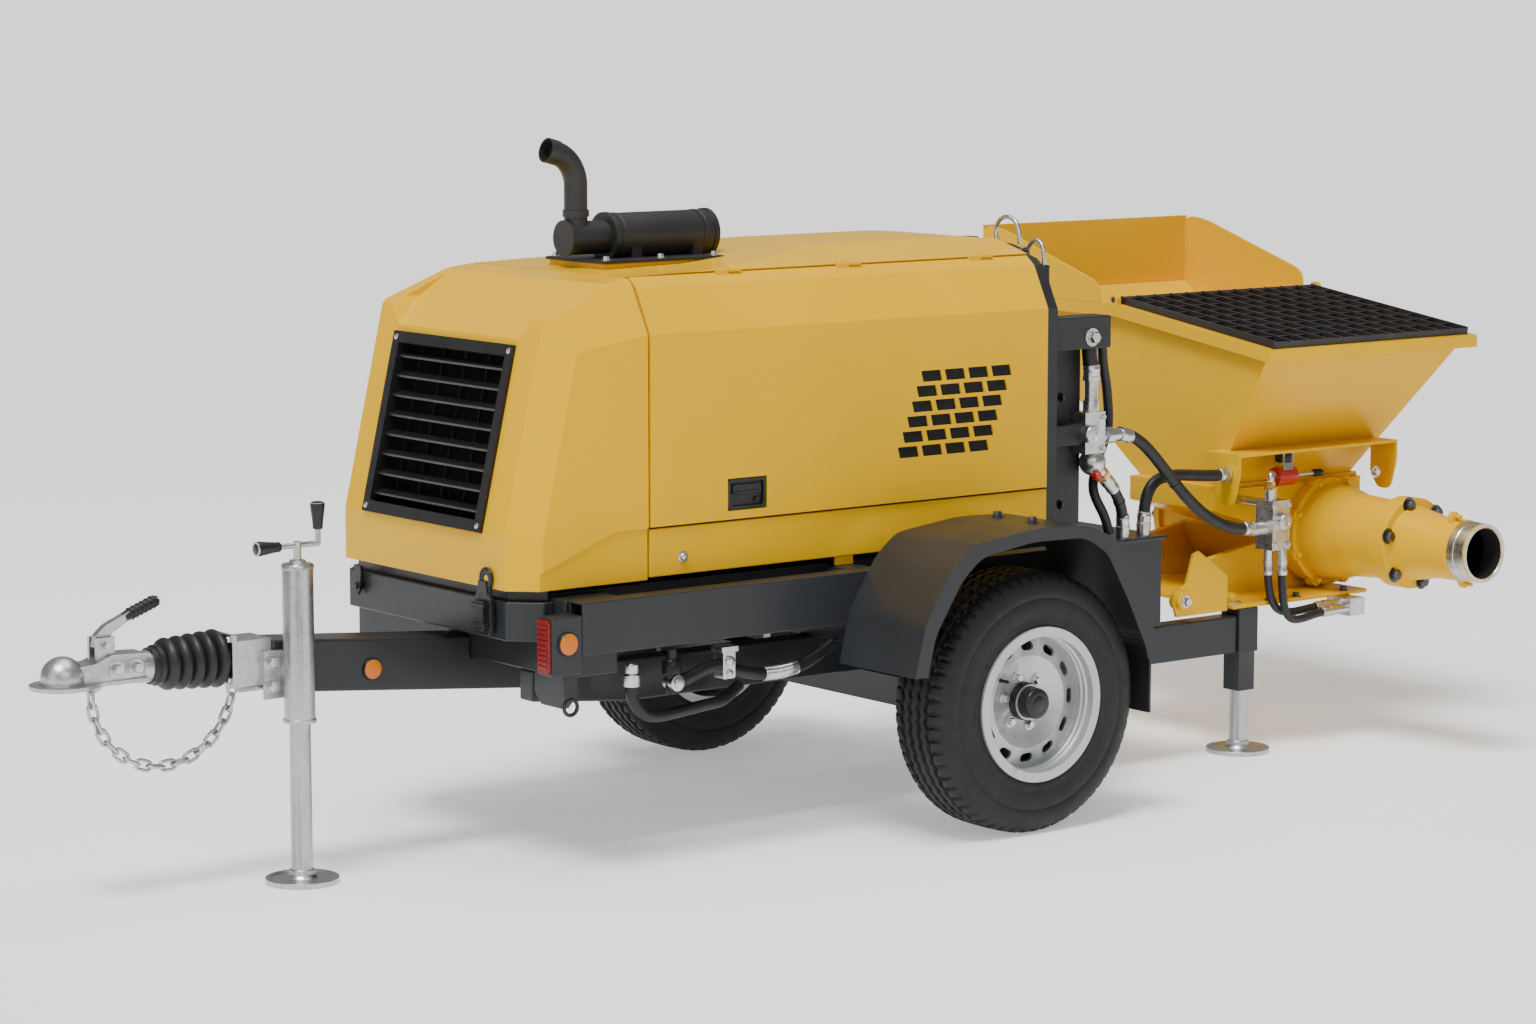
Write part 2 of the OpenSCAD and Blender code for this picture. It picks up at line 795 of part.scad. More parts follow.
// Roof between the doors, arched along X and across
module roof_shape(i) {
    arch_z = [
        [nose_x, roof_edge_z - 5], [660, roof_edge_z + 4], [300, crown_z - 16],
        [-100, crown_z - 4], [hood_rear, crown_z - 22]
    ];
    top = [for (p = arch_z) [p[0], p[1] - i]];
    half = concat(
        [[roof_edge_y, roof_edge_z] + i * chamfer_in],
        [[roof_edge_y * 0.55, crown_z - 14 - i], [0, crown_z - i]]
    );
    base = [roof_edge_y, roof_edge_z] + 160 * chamfer_in;
    intersection() {
        yz_plate(hood_rear, nose_x)
            polygon(concat([base], half, mirrored(half), [[-base[0], base[1]]]));
        xz_plate(-hood_y, hood_y)
            polygon(concat(top, [[hood_rear, roof_edge_z - 100], [nose_x, roof_edge_z - 100]]));
    }
}

// Hinge knuckle of a door: a barrel on the axis and a web to the panel's outer face at the point foot
module knuckle(x0, x1, foot, along)
    yz_plate(x0, x1) {
        translate(hinge) circle(r = hinge_r);
        polygon([
            hinge, foot + 2 * chamfer_in, foot + 16 * along + 2 * chamfer_in,
            hinge - hinge_r * 0.8 * chamfer_in + 3 * along
        ]);
    }

module hood_roof()
    color(yellow) at_axle() {
        difference() {
            roof_shape(0);
            translate([0, 0, -panel_t]) roof_shape(0);
            slab([hood_rear - 1, -hood_y, roof_edge_z - 200], [nose_x + 1, hood_y, roof_edge_z - 30]);
        }
        both_sides()
            for (x = hinge_x)
                knuckle(x, x + 40, [roof_edge_y, roof_edge_z], chamfer_dir);
        slab([plate_x[0] + 8, 8 - plate_y, roof_edge_z - 10], [plate_x[1] - 8, plate_y - 8, plate_z]);
    }

// Fixed strips under the doors, set in and carried by the rear wall and the middle crossmember
module hood_sills()
    color(yellow) at_axle() both_sides() {
        slab(
            [hood_rear, hood_y - panel_t, hood_z0],
            [nose_x - door_gap, hood_y - skirt_in, skirt_z - sill_gap]
        );
        slab(
            [cross_x[1] - 30, hood_y - panel_t, beam_z1],
            [cross_x[1] + 30, hood_y - panel_t + 10, hood_z0 + 6]
        );
    }

// Rear wall of the hood, with the box for the hose ends and the arm for the upper valve
module rear_bulkhead() {
    back = hood_rear - bulkhead_t;
    color(anthracite) at_axle() {
        yz_plate(back, hood_rear)
            intersection() {
                hood_section(14);
                translate([-hood_y, beam_z1]) square([hood_w, crown_z - 40 - beam_z1]);
            }
        slab([valve_x - 36, valve_y - 40, hose_z], [back, valve_y + 40, hose_z + 90]);
        slab([valve_x + 46, valve_y - 20, valve_z - 30], [back, valve_y + 20, valve_z + 30]);
    }
}

module engine_block()
    color(anthracite) at_axle()
        slab(
            [engine_x, -engine_half, beam_z1],
            [engine_x + engine_len, engine_half, beam_z1 + engine_h]
        );

// Gull-wing door with a slotted vent field
module door() {
    top = [roof_edge_y, roof_edge_z] - door_gap * chamfer_dir;
    inner_top = top + panel_t * chamfer_in;
    vent_x = -20;
    vent_z = 1095;
    latch_x = 684;
    latch_z = 927;
    for (x = hinge_x)
        knuckle(x + 42, x + 82, top, -chamfer_dir);
    difference() {
        yz_plate(hood_rear + door_gap, nose_x - door_gap)
            polygon([
                [hood_y, skirt_z + sill_gap], [hood_y, crease_z], fold, top, inner_top,
                [hood_y - panel_t, crease_z - crease_in], [hood_y - panel_t, skirt_z + sill_gap]
            ]);
        slab([latch_x - 64, hood_y - 14, latch_z - 42], [latch_x + 64, hood_y + 1, latch_z + 42]);
        for (row = [0 : 5])
            for (col = [0 : 3])
                xz_plate(hood_y - panel_t - 1, hood_y + 1)
                    translate([vent_x + (col - 1.5) * 82 - (row - 2.5) * 16, vent_z + (row - 2.5) * 40])
                        polygon([[-30, 15], [38, 15], [30, -15], [-38, -15]]);
    }
}

module door_left() color(yellow) at_axle() door();

module door_right() color(yellow) at_axle() mirror([0, 1, 0]) door();

// Swinging hook that holds the nose down on the crossbar, and a plain hook on the right
module hood_latches()
    color(black) at_axle() {
        difference() {
            union() {
                hook(latch_y, nose_z0 + 30);
                yz_plate(nose_front, nose_front + 10)
                    translate([latch_y, nose_z0 + 26]) circle(r = 24);
            }
            rod_x(nose_front - 1, nose_front + 11, latch_y, nose_z0 + 26, 11);
        }
        hook(-latch_y, nose_z0 - 10);
    }

module hook(y, top) {
    yz_plate(nose_front, nose_front + 10)
        polygon([
            [y - 16, top], [y + 16, top], [y + 20, nose_z0 - 30], [y + 12, nose_z0 - 76],
            [y, nose_z0 - 90], [y - 14, nose_z0 - 76], [y - 14, nose_z0 - 30]
        ]);
    rod_x(nose_front - 7, nose_front + 18, y, nose_z0 - 66, 9);
}

// Exhaust on a plate over the front of the roof

muffler_x = [484, 823];
muffler_r = 62;
muffler_z = roof_edge_z + 74;
stub_x1 = 950;
stub_pipe_r = 44;
pipe_x = 910;
pipe_r = 31;
pipe_bend = 90;
pipe_turn = 75;
pipe_z = muffler_z + 138;
mouth_len = 27;
plate_x = [525, 915];
plate_y = 133;
plate_z = roof_edge_z + 12;

module muffler()
    color(black) at_axle()
        difference() {
            union() {
                rod_x(muffler_x[0], muffler_x[1], 0, muffler_z, muffler_r);
                for (x = [muffler_x[0], muffler_x[1] - 14])
                    rod_x(x, x + 14, 0, muffler_z, muffler_r + 3);
                for (x = [muffler_x[0] + 70, muffler_x[1] - 70])
                    slab([x - 15, -58, plate_z], [x + 15, 58, muffler_z - 20]);
                slab([plate_x[0], -plate_y, plate_z], [plate_x[1], plate_y, plate_z + 8]);
            }
            roof_shape(0);
            slab([plate_x[0] + 7, 7 - plate_y, 0], [plate_x[1] - 7, plate_y - 7, plate_z]);
        }

// Stub with a flat cap, and an upright pipe that bends forward to its open mouth
module exhaust_pipe()
    color(black) at_axle()
        difference() {
            union() {
                rod_x(muffler_x[1], stub_x1, 0, muffler_z, stub_pipe_r);
                rod_x(stub_x1 - 8, stub_x1, 0, muffler_z, stub_pipe_r + 4);
                rod_z(muffler_z, pipe_z, pipe_x, 0, pipe_r);
                rod_z(muffler_z + 56, muffler_z + 74, pipe_x, 0, pipe_r + 4);
                translate([pipe_x + pipe_bend, 0, pipe_z])
                    rotate([90, 0, 0])
                        rotate_extrude(angle = -pipe_turn, start = 180)
                            translate([pipe_bend, 0]) circle(r = pipe_r);
                at_mouth() translate([0, 0, -6]) cylinder(r = pipe_r + 2, h = mouth_len + 6);
            }
            at_mouth() cylinder(r = pipe_r - 3, h = mouth_len + 1);
        }

// Places a shape where the bend of the exhaust ends, with Z along the pipe
module at_mouth()
    translate([pipe_x + pipe_bend * (1 - cos(pipe_turn)), 0, pipe_z + pipe_bend * sin(pipe_turn)])
        rotate([0, pipe_turn, 0])
            children();

// Rear machinery

module hydraulic_tank()
    color(anthracite) at_axle() {
        slab(
            [tank_x - tank_len, -tank_half, rail_z + rail_h - rail_drop],
            [tank_x, tank_half, tank_z1 - 10]
        );
        slab([tank_x - tank_len - 12, -tank_half - 12, tank_z1 - 10], [tank_x, tank_half + 12, tank_z1]);
    }

// Walls of the hopper as one funnel, drawn in by i
module funnel(i) {
    top_z = 2000;
    grow = (top_z - hopper_low_z) / (hopper_rim_z - hopper_low_z);
    far_grow = (top_z - hopper_low_z) / (hopper_high - hopper_low_z);
    near_y = mouth_y[1] + (hopper_near - mouth_y[1]) * grow;
    far_y = mouth_y[0] - (hopper_far + mouth_y[0]) * far_grow;
    back_x = mouth_x[0] - (mouth_x[0] - hopper_x0) * grow;
    intersection() {
        yz_plate(hopper_x0 - 1500, hopper_x - i)
            polygon([
                [mouth_y[0] + i, hopper_low_z], [mouth_y[1] - i, hopper_low_z],
                [near_y - i, top_z], [far_y + i, top_z]
            ]);
        xz_plate(-3000, 3000)
            polygon([
                [mouth_x[0] + i, hopper_low_z], [hopper_x, hopper_low_z],
                [hopper_x, top_z], [back_x + i, top_z]
            ]);
    }
}

// Everything under the rim's top, which falls towards the left
module under_rim(down)
    yz_plate(hopper_x0 - 200, hopper_x + 200)
        polygon([
            [-hopper_far - 200, 0], [hopper_near + 200, 0],
            [hopper_near + 200, hopper_rim_z - 28 - down], [hopper_bend, hopper_high - down],
            [-hopper_far - 200, hopper_high - down]
        ]);

// Box over the rim's plan, grown by g on all four sides
module rim_box(g, up)
    slab(
        [hopper_x0 - g, -hopper_far - g, 0],
        [hopper_x + g, hopper_near + g, 2000 + up]
    );

module rim_band()
    difference() {
        intersection() {
            under_rim(0);
            rim_box(rim_lip, 0);
        }
        under_rim(rim_h);
        rim_box(-4, 1);
    }

module hopper()
    color(yellow) at_axle() {
        difference() {
            intersection() {
                funnel(0);
                under_rim(0);
                rim_box(0, 0);
            }
            intersection() {
                funnel(hopper_t);
                rim_box(-hopper_t, 1000);
            }
        }
        rim_band();
        for (x = [hopper_x0 - rim_lip, hopper_x + 2])
            difference() {
                pin_lug(x);
                rod_x(x - 1, x + 40, hopper_bend, hopper_high + 12, pin_r + running_fit);
            }
        difference() {
            slab(
                [mouth_x[0] - 30, mouth_y[0] - 30, hopper_low_z],
                [mouth_x[1] + 30, cone_y0 - ring_t - 2, hopper_low_z + 12]
            );
            slab(
                [mouth_x[0] + hopper_t, mouth_y[0] + hopper_t, hopper_low_z - 1],
                [mouth_x[1] - hopper_t, mouth_y[1] - hopper_t, hopper_low_z + 13]
            );
        }
        side_frame();
    }

// Lug on the rim that holds one end of the grate's pin
module pin_lug(x)
    yz_plate(x, x + rim_lip - 2) {
        translate([hopper_bend, hopper_high + 12]) circle(r = pin_r + 8);
        translate([hopper_bend - pin_r - 8, hopper_high - 6]) square([2 * pin_r + 16, 18]);
    }

// Left wall of the hopper at the height z
function wall_y(z) =
    mouth_y[1] + (hopper_near - mouth_y[1]) * (z - hopper_low_z) / (hopper_rim_z - hopper_low_z);

// Angle frame along the left wall that shelters the small valve
module side_frame() {
    root = wall_y(frame_z - 8);
    cheek = concat(
        [[root, frame_z]],
        eased([[frame_y - 1, frame_z], [frame_y, frame_z - 60], [frame_y - 24, frame_z - 150],
            [root + 30, frame_z - 150], [root, frame_z - 100]], 20)
    );
    slab([frame_x[0], root, frame_z - 8], [frame_x[1], frame_y, frame_z]);
    yz_plate(frame_x[0], frame_x[0] + 8) polygon(cheek);
    yz_plate(frame_x[1] - 8, frame_x[1]) polygon(cheek);
    slab([hopper_x - 2, root - 40, frame_z - 8], [frame_x[1], root + 10, frame_z]);
}

// Splash guard: a plate on the far side and a wing at each end
module hopper_guard() {
    far = -hopper_far - rim_lip;
    near = hopper_bend - 60;
    wing = eased([
        [far, hopper_high], [far, guard_z], [far + 90, guard_z - 6],
        [near, hopper_high + 60], [near, hopper_high]
    ], 40);
    color(yellow) at_axle() {
        slab([hopper_x0 - rim_lip, far, hopper_high], [hopper_x + rim_lip, far + guard_t, guard_z]);
        yz_plate(hopper_x + rim_lip - guard_t, hopper_x + rim_lip) polygon(wing);
        yz_plate(hopper_x0 - rim_lip, hopper_x0 - rim_lip + guard_t) polygon(wing);
    }
}

// Bar grate over the left part of the hopper, hinged at its high edge
module hopper_grate() {
    run = hopper_near + rim_lip - hopper_bend;
    slope = atan((hopper_high - hopper_rim_z + 28) / (hopper_near + 200 - hopper_bend));
    bars = 12;
    cross = 9;
    color(black) at_axle() {
        rod_x(hopper_x0 - rim_lip + 2, hopper_x + rim_lip - 2, hopper_bend, hopper_high + 12, pin_r);
        translate([0, hopper_bend, hopper_high + 1])
            rotate([-slope, 0, 0]) {
                len_y = run / cos(slope) - 16;
                x0 = hopper_x0 + 6;
                x1 = hopper_x - 6;
                for (i = [0 : bars])
                    translate([x0 + (x1 - x0 - 8) * i / bars, 0, 0]) cube([8, len_y, grate_t]);
                for (j = [0 : cross])
                    translate([x0, 8 + (len_y - 16) * j / cross, 0]) cube([x1 - x0, 8, grate_t - 4]);
            }
    }
}

// Trough between the hopper's mouth and the pump, seen from the side
module inlet_shape()
    polygon([
        [mouth_x[1] + 30, hopper_low_z], [mouth_x[1] + 30, hopper_low_z - 60],
        [pump_x + pump_r - 12, pump_z], [pump_x - pump_r + 12, pump_z],
        [mouth_x[0] - 30, hopper_low_z - 60], [mouth_x[0] - 30, hopper_low_z]
    ]);

module pump_housing()
    color(yellow) at_axle() {
        rod_y(pump_y0, cone_y0 - ring_t + 2, pump_x, pump_z, pump_r - 12);
        rod_y(cone_y0 - ring_t, cone_y0, pump_x, pump_z, pump_r);
        rod_y(pump_y0 - 24, pump_y0, pump_x, pump_z, pump_r);
        xz_plate(mouth_y[0] - 30, mouth_y[1] + 30) inlet_shape();
    }

// Cast reducer: bolted flange with bosses, bell-shaped wall and the outlet flange
module pump_cone() {
    run = cone_y1 - cone_y0;
    end_r = outlet_d / 2 + 30;
    color(yellow) at_axle()
        translate([pump_x, cone_y0, pump_z])
            rotate([-90, 0, 0]) {
                rotate_extrude()
                    polygon([
                        [0, 0], [pump_r, 0], [pump_r, 28], [pump_r - 14, 30], [pump_r - 18, 70],
                        [pump_r - 26, 110], [pump_r - 36, 140], [end_r, run - 60], [end_r, run - 30],
                        [pump_r - 26, run - 30], [pump_r - 26, run], [0, run]
                    ]);
                for (i = [0 : bosses - 1])
                    rotate([0, 0, 360 * (i + 0.5) / bosses])
                        translate([pump_r - 4, 0, 0]) cylinder(r = 18, h = 34);
            }
}

module outlet_pipe() {
    bore = outlet_d / 2 - 12;
    color(yellow) at_axle()
        difference() {
            union() {
                rod_y(cone_y1, cone_y1 + 30, pump_x, pump_z, pump_r - 26);
                translate([pump_x, cone_y1 + 30, pump_z])
                    rotate([-90, 0, 0])
                        cylinder(r1 = outlet_d / 2 + 24, r2 = outlet_d / 2 + 4, h = 110);
                rod_y(cone_y1 + 130, outlet_y - 70, pump_x, pump_z, outlet_d / 2 + 4);
                rod_y(outlet_y - 70, outlet_y, pump_x, pump_z, outlet_d / 2);
            }
            rod_y(cone_y1 + 60, outlet_y + 1, pump_x, pump_z, bore);
        }
}

// Cradle that carries the pump on the sleeves of the rear legs
module pump_saddle()
    color(yellow) at_axle() {
        difference() {
            for (y = [-250, 150])
                xz_plate(y, y + 24)
                    polygon([
                        [leg_x + 60, sleeve_z1 + saddle_t], [leg_x + 20, pump_z - 60], [pump_x + 80, pump_z],
                        [pump_x, pump_z], [pump_x - 110, sleeve_z1 + saddle_t]
                    ]);
            rod_y(-400, 400, pump_x, pump_z, pump_r - 12);
            xz_plate(mouth_y[0] - 31, mouth_y[1] + 31) inlet_shape();
        }
        slab([pump_x - 60, -346, sleeve_z1], [leg_x + 60, 346, sleeve_z1 + saddle_t]);
    }

// Castings that the hoses run between: upper valve, lower valve, small valve under the hopper's frame
// and the port block under the saddle
module valve_blocks()
    color(zinc) at_axle() {
        upper_valve();
        lower_valve();
        slab([small_x - 20, frame_y - 80, frame_z - 90], [small_x + 20, frame_y - 40, frame_z - 8]);
        rod_x(small_x - 34, small_x + 34, frame_y - 60, frame_z - 84, 26);
        rod_x(small_x - 150, small_x - 30, frame_y - 60, frame_z - 84, 7);
        slab([port_x - 60, 310, ports[1][1] - 22], [port_x, 408, sleeve_z1]);
        for (p = ports)
            rod_x(port_x - 1, port_x + port_len, p[0], p[1], 14);
        rod_z(tank_z1, tank_z1 + 26, tank_fit[0], tank_fit[1], 20);
        rod_z(tank_z1, tank_z1 + 26, tank_fit[0] - 80, tank_fit[1], 20);
    }

module upper_valve() {
    slab([valve_x - 28, valve_y - 28, valve_z - 56], [valve_x + 46, valve_y + 28, valve_z + 60]);
    rod_y(valve_y + 20, valve_y + 46, valve_x + 36, valve_z, 26);
    rod_z(valve_z + 59, valve_z + 90, valve_x, valve_y, 24);
    rod_z(valve_z + 89, valve_z + 150, valve_x, valve_y, 20);
    rod_x(valve_x - 110, valve_x - 26, valve_y, valve_z - side_port, 18);
    rod_x(valve_x - 74, valve_x - 50, valve_y, valve_z - side_port, 24);
    translate([valve_x - 6, valve_y, valve_z - 84]) {
        sphere(r = 38);
        rotate([0, -135, 0]) cylinder(r = 20, h = 80);
    }
}

module lower_valve() {
    slab([valve_low_x - 35, valve_low_y - 35, 600], [valve_low_x + 35, valve_low_y + 35, 745]);
    rod_y(mouth_y[1] + 30, valve_low_y - 30, valve_low_x, hopper_low_z - 30, 14);
    rod_y(valve_low_y + 30, valve_low_y + 52, valve_low_x, port_z + 20, 24);
    rod_x(valve_low_x + 34, valve_low_x + 80, valve_low_y, port_z, 20);
    rod_z(744, 775, valve_low_x + 12, valve_low_y, 18);
    for (i = [0, 1])
        rod_z(565, 601, valve_low_x + 15 - 30 * i, ports[i][0], 15);
}

module hoses() {
    slant = [-0.7071, 0, -0.7071];
    top = [valve_x, valve_y, valve_z + 150];
    side = [valve_x - 110, valve_y, valve_z - side_port];
    low = [valve_x - 6, valve_y, valve_z - 84] + 80 * slant;
    back = [tank_fit[0] - 80, tank_fit[1], tank_z1 + 26];
    cheek = [frame_x[1], frame_y - 44, frame_z - 60];
    color(black) at_axle() {
        hose([[valve_x + 10, valve_y, hose_z], [valve_x + 10, valve_y, hose_z - 40],
            top + [0, 0, 40], top], 21);
        hose([side, side + [-150, 0, 0], [valve_low_x + 360, valve_low_y, port_z],
            [valve_low_x + 80, valve_low_y, port_z]], hose_r);
        hose([low, low + 60 * slant, [tank_fit[0], tank_fit[1], tank_z1 + 90],
            [tank_fit[0], tank_fit[1], tank_z1 + 26]], hose_r - 1);
        hose([back, back + [0, 0, 200], cheek + [220, 0, 0], cheek], hose_r);
        for (i = [0, 1]) {
            from = [valve_low_x + 15 - 30 * i, ports[i][0], 565];
            to = [port_x + port_len, ports[i][0], ports[i][1]];
            hose([from, from - [0, 0, 210 + 40 * i], to + [150, 0, 0], to], 12);
        }
    }
}

module lamp_boxes()
    color(anthracite) at_axle() {
        lamp_box(beam_x1);
        mirror([0, 1, 0]) lamp_box(beam_x1 - far_back);
    }

module lamp_box(x) slab([x, beam_y0, beam_z0 - 44], [x + 92, beam_y1, beam_z1 - 30]);

side_beams();
front_crossbar();
crossmembers();
rails();
drawbar();
axle_beam();
mudguard_left();
mudguard_right();
mudflaps();
overrun_housing();
bellows();
coupling_head();
coupling_handle();
safety_chain();
jack_tube();
jack_crank();
jack_leg();
leg_sleeves();
rear_leg_left();
rear_leg_right();
tyre_left();
rim_left();
tyre_right();
rim_right();
hood_nose();
front_grille();
hood_roof();
hood_sills();
rear_bulkhead();
engine_block();
door_left();
door_right();
muffler();
exhaust_pipe();
hydraulic_tank();
hopper();
hopper_guard();
hopper_grate();
pump_housing();
pump_cone();
outlet_pipe();
pump_saddle();
valve_blocks();
hoses();
lamp_boxes();
hood_latches();
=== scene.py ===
"""Looks of the towed concrete pump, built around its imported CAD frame.

Lengths are millimetres, and angles degrees, unless a comment says otherwise. Points given to at()
have X measured from the axle, as in the part's source; at() turns them into metres in the frame.
"""

import json
import math

import bmesh
import bpy
from mathutils import Matrix, Vector


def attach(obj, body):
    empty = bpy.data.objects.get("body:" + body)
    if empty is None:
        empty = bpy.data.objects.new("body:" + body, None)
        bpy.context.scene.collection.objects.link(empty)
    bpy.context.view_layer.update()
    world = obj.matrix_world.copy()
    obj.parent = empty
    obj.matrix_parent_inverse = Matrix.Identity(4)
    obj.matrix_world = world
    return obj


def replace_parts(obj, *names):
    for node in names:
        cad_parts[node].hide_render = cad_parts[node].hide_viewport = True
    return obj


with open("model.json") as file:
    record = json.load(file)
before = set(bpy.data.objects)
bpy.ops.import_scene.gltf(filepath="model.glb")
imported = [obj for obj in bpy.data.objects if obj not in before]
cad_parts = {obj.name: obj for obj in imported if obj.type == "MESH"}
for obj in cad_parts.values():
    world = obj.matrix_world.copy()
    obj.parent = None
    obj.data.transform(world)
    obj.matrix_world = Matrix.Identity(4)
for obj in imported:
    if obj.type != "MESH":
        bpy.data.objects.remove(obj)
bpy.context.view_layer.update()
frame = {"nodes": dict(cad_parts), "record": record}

MM = 1000  # millimetres in a metre
AXLE_X = -0.207  # the axle's place in the frame, metres
X, Y, Z = (1, 0, 0), (0, 1, 0), (0, 0, 1)
REAR, RIGHT = (-1, 0, 0), (0, -1, 0)
BOTH = (-1, 1)
SIDES = ((1, "left"), (-1, "right"))
BODIES = frame["record"]["behaviour"]["bodies"]
BODY_OF = {n: body for body, nodes in BODIES.items() for n in nodes}
SLOT_OF = {s["node"]: s["material_slot"] for s in frame["record"]["subparts"]}


def at(x, y, z):
    """Point in the frame, in metres, from millimetres measured from the axle."""
    return Vector((x / MM + AXLE_X, y / MM, z / MM))


# ---------------------------------------------------------------- materials

COAT_ROUGHNESS = 0.06
BUMP_STRENGTH = 0.6
NOISE_LOW, NOISE_HIGH = 0.3, 0.7  # most of a noise texture's values lie between these
ZINC_LOW, ZINC_HIGH = 0.25, 0.6
ZINC_CRYSTALS = 0.3  # share of the crystals in the zinc's pattern
WHITE = (1.0, 1.0, 1.0)


class Shader:
    """A Principled material with a few noise helpers; its bump heights are in metres."""

    def __init__(self, name, metallic=0.0, coat=0.0, specular=0.5):
        self.mat = bpy.data.materials.new(name)
        self.mat.use_nodes = True
        self.tree = self.mat.node_tree
        self.bsdf = self.tree.nodes["Principled BSDF"]
        self.bsdf.inputs["Metallic"].default_value = metallic
        self.bsdf.inputs["Specular IOR Level"].default_value = specular
        if coat:
            self.bsdf.inputs["Coat Weight"].default_value = coat
            self.bsdf.inputs["Coat Roughness"].default_value = COAT_ROUGHNESS
        self.coords = self.tree.nodes.new("ShaderNodeTexCoord")

    def link(self, a, b):
        """Joins an output to an input."""
        self.tree.links.new(a, b)

    def noise(self, scale, detail, rough=0.55, stretch=None):
        """Noise over the object's own coordinates."""
        tex = self.tree.nodes.new("ShaderNodeTexNoise")
        tex.inputs["Scale"].default_value = scale
        tex.inputs["Detail"].default_value = detail
        tex.inputs["Roughness"].default_value = rough
        source = self.coords.outputs["Object"]
        if stretch:
            mapping = self.tree.nodes.new("ShaderNodeMapping")
            mapping.inputs["Scale"].default_value = stretch
            self.link(source, mapping.inputs["Vector"])
            source = mapping.outputs["Vector"]
        self.link(source, tex.inputs["Vector"])
        return tex.outputs["Fac"]

    def cells(self, scale):
        """Grey crystals over the object's own coordinates."""
        tex = self.tree.nodes.new("ShaderNodeTexVoronoi")
        tex.inputs["Scale"].default_value = scale
        self.link(self.coords.outputs["Object"], tex.inputs["Vector"])
        grey = self.tree.nodes.new("ShaderNodeRGBToBW")
        self.link(tex.outputs["Color"], grey.inputs["Color"])
        return grey.outputs["Val"]

    def colour(self, value, dark, light, low=NOISE_LOW, high=NOISE_HIGH):
        """Base colour that runs from dark to light with a value."""
        ramp = self.tree.nodes.new("ShaderNodeValToRGB")
        for stop, position, rgb in zip(ramp.color_ramp.elements, (low, high), (dark, light)):
            stop.position = position
            stop.color = (*rgb, 1.0)
        self.link(value, ramp.inputs["Fac"])
        self.link(ramp.outputs["Color"], self.bsdf.inputs["Base Color"])

    def rough(self, value, low, high):
        """Roughness that runs from low to high with a value."""
        span = self.tree.nodes.new("ShaderNodeMapRange")
        span.inputs["From Min"].default_value = NOISE_LOW
        span.inputs["From Max"].default_value = NOISE_HIGH
        span.inputs["To Min"].default_value = low
        span.inputs["To Max"].default_value = high
        self.link(value, span.inputs["Value"])
        self.link(span.outputs["Result"], self.bsdf.inputs["Roughness"])

    def bump(self, value, height):
        """Fine relief; returns the finished material."""
        bump = self.tree.nodes.new("ShaderNodeBump")
        bump.inputs["Strength"].default_value = BUMP_STRENGTH
        bump.inputs["Distance"].default_value = height
        self.link(value, bump.inputs["Height"])
        self.link(bump.outputs["Normal"], self.bsdf.inputs["Normal"])
        return self.mat


def paint(name, dark, light, rough, peel=0.0004, coat=0.0, metallic=0.0, specular=0.5, tint=WHITE):
    """Sprayed paint: faint colour drift, orange peel and uneven gloss."""
    s = Shader(name, metallic, coat, specular)
    s.bsdf.inputs["Specular Tint"].default_value = (*tint, 1.0)
    s.colour(s.noise(scale=2.2, detail=5.0), dark, light)
    s.rough(s.noise(scale=9.0, detail=6.0), *rough)
    return s.bump(s.noise(scale=420.0, detail=2.0), peel)


def zinc(name, dark, light, rough, grain):
    """Hot-dip zinc: crystals, long runs and dull patches."""
    s = Shader(name, metallic=1.0)
    mix = s.tree.nodes.new("ShaderNodeMix")
    mix.inputs["Factor"].default_value = ZINC_CRYSTALS
    runs = s.noise(scale=26.0, detail=8.0, rough=0.7, stretch=(1.0, 1.0, 0.35))
    s.link(runs, mix.inputs["A"])
    s.link(s.cells(grain), mix.inputs["B"])
    s.colour(mix.outputs["Result"], dark, light, ZINC_LOW, ZINC_HIGH)
    s.rough(s.noise(scale=48.0, detail=7.0), *rough)
    return s.bump(s.noise(scale=150.0, detail=6.0), height=0.0006)


def moulded(name, dark, light, rough, grain=600.0, specular=0.4):
    """Rubber or plastic with a fine moulded grain."""
    s = Shader(name, specular=specular)
    s.colour(s.noise(scale=14.0, detail=6.0), dark, light)
    s.rough(s.noise(scale=40.0, detail=5.0), *rough)
    return s.bump(s.noise(scale=grain, detail=3.0), height=0.0003)


def machined(name, dark, light, rough):
    """Plated or turned metal with fine streaks."""
    s = Shader(name, metallic=1.0)
    s.colour(s.noise(scale=60.0, detail=5.0), dark, light)
    s.rough(s.noise(scale=220.0, detail=4.0, rough=0.6, stretch=(1.0, 0.2, 1.0)), *rough)
    return s.bump(s.noise(scale=500.0, detail=3.0), height=0.0002)


def lens(name, dark, light):
    """Ribbed lamp plastic."""
    s = Shader(name, coat=0.2, specular=0.3)
    s.colour(s.noise(scale=160.0, detail=3.0), dark, light)
    s.rough(s.noise(scale=90.0, detail=3.0), low=0.12, high=0.25)
    return s.bump(s.noise(scale=900.0, detail=1.0), height=0.0006)


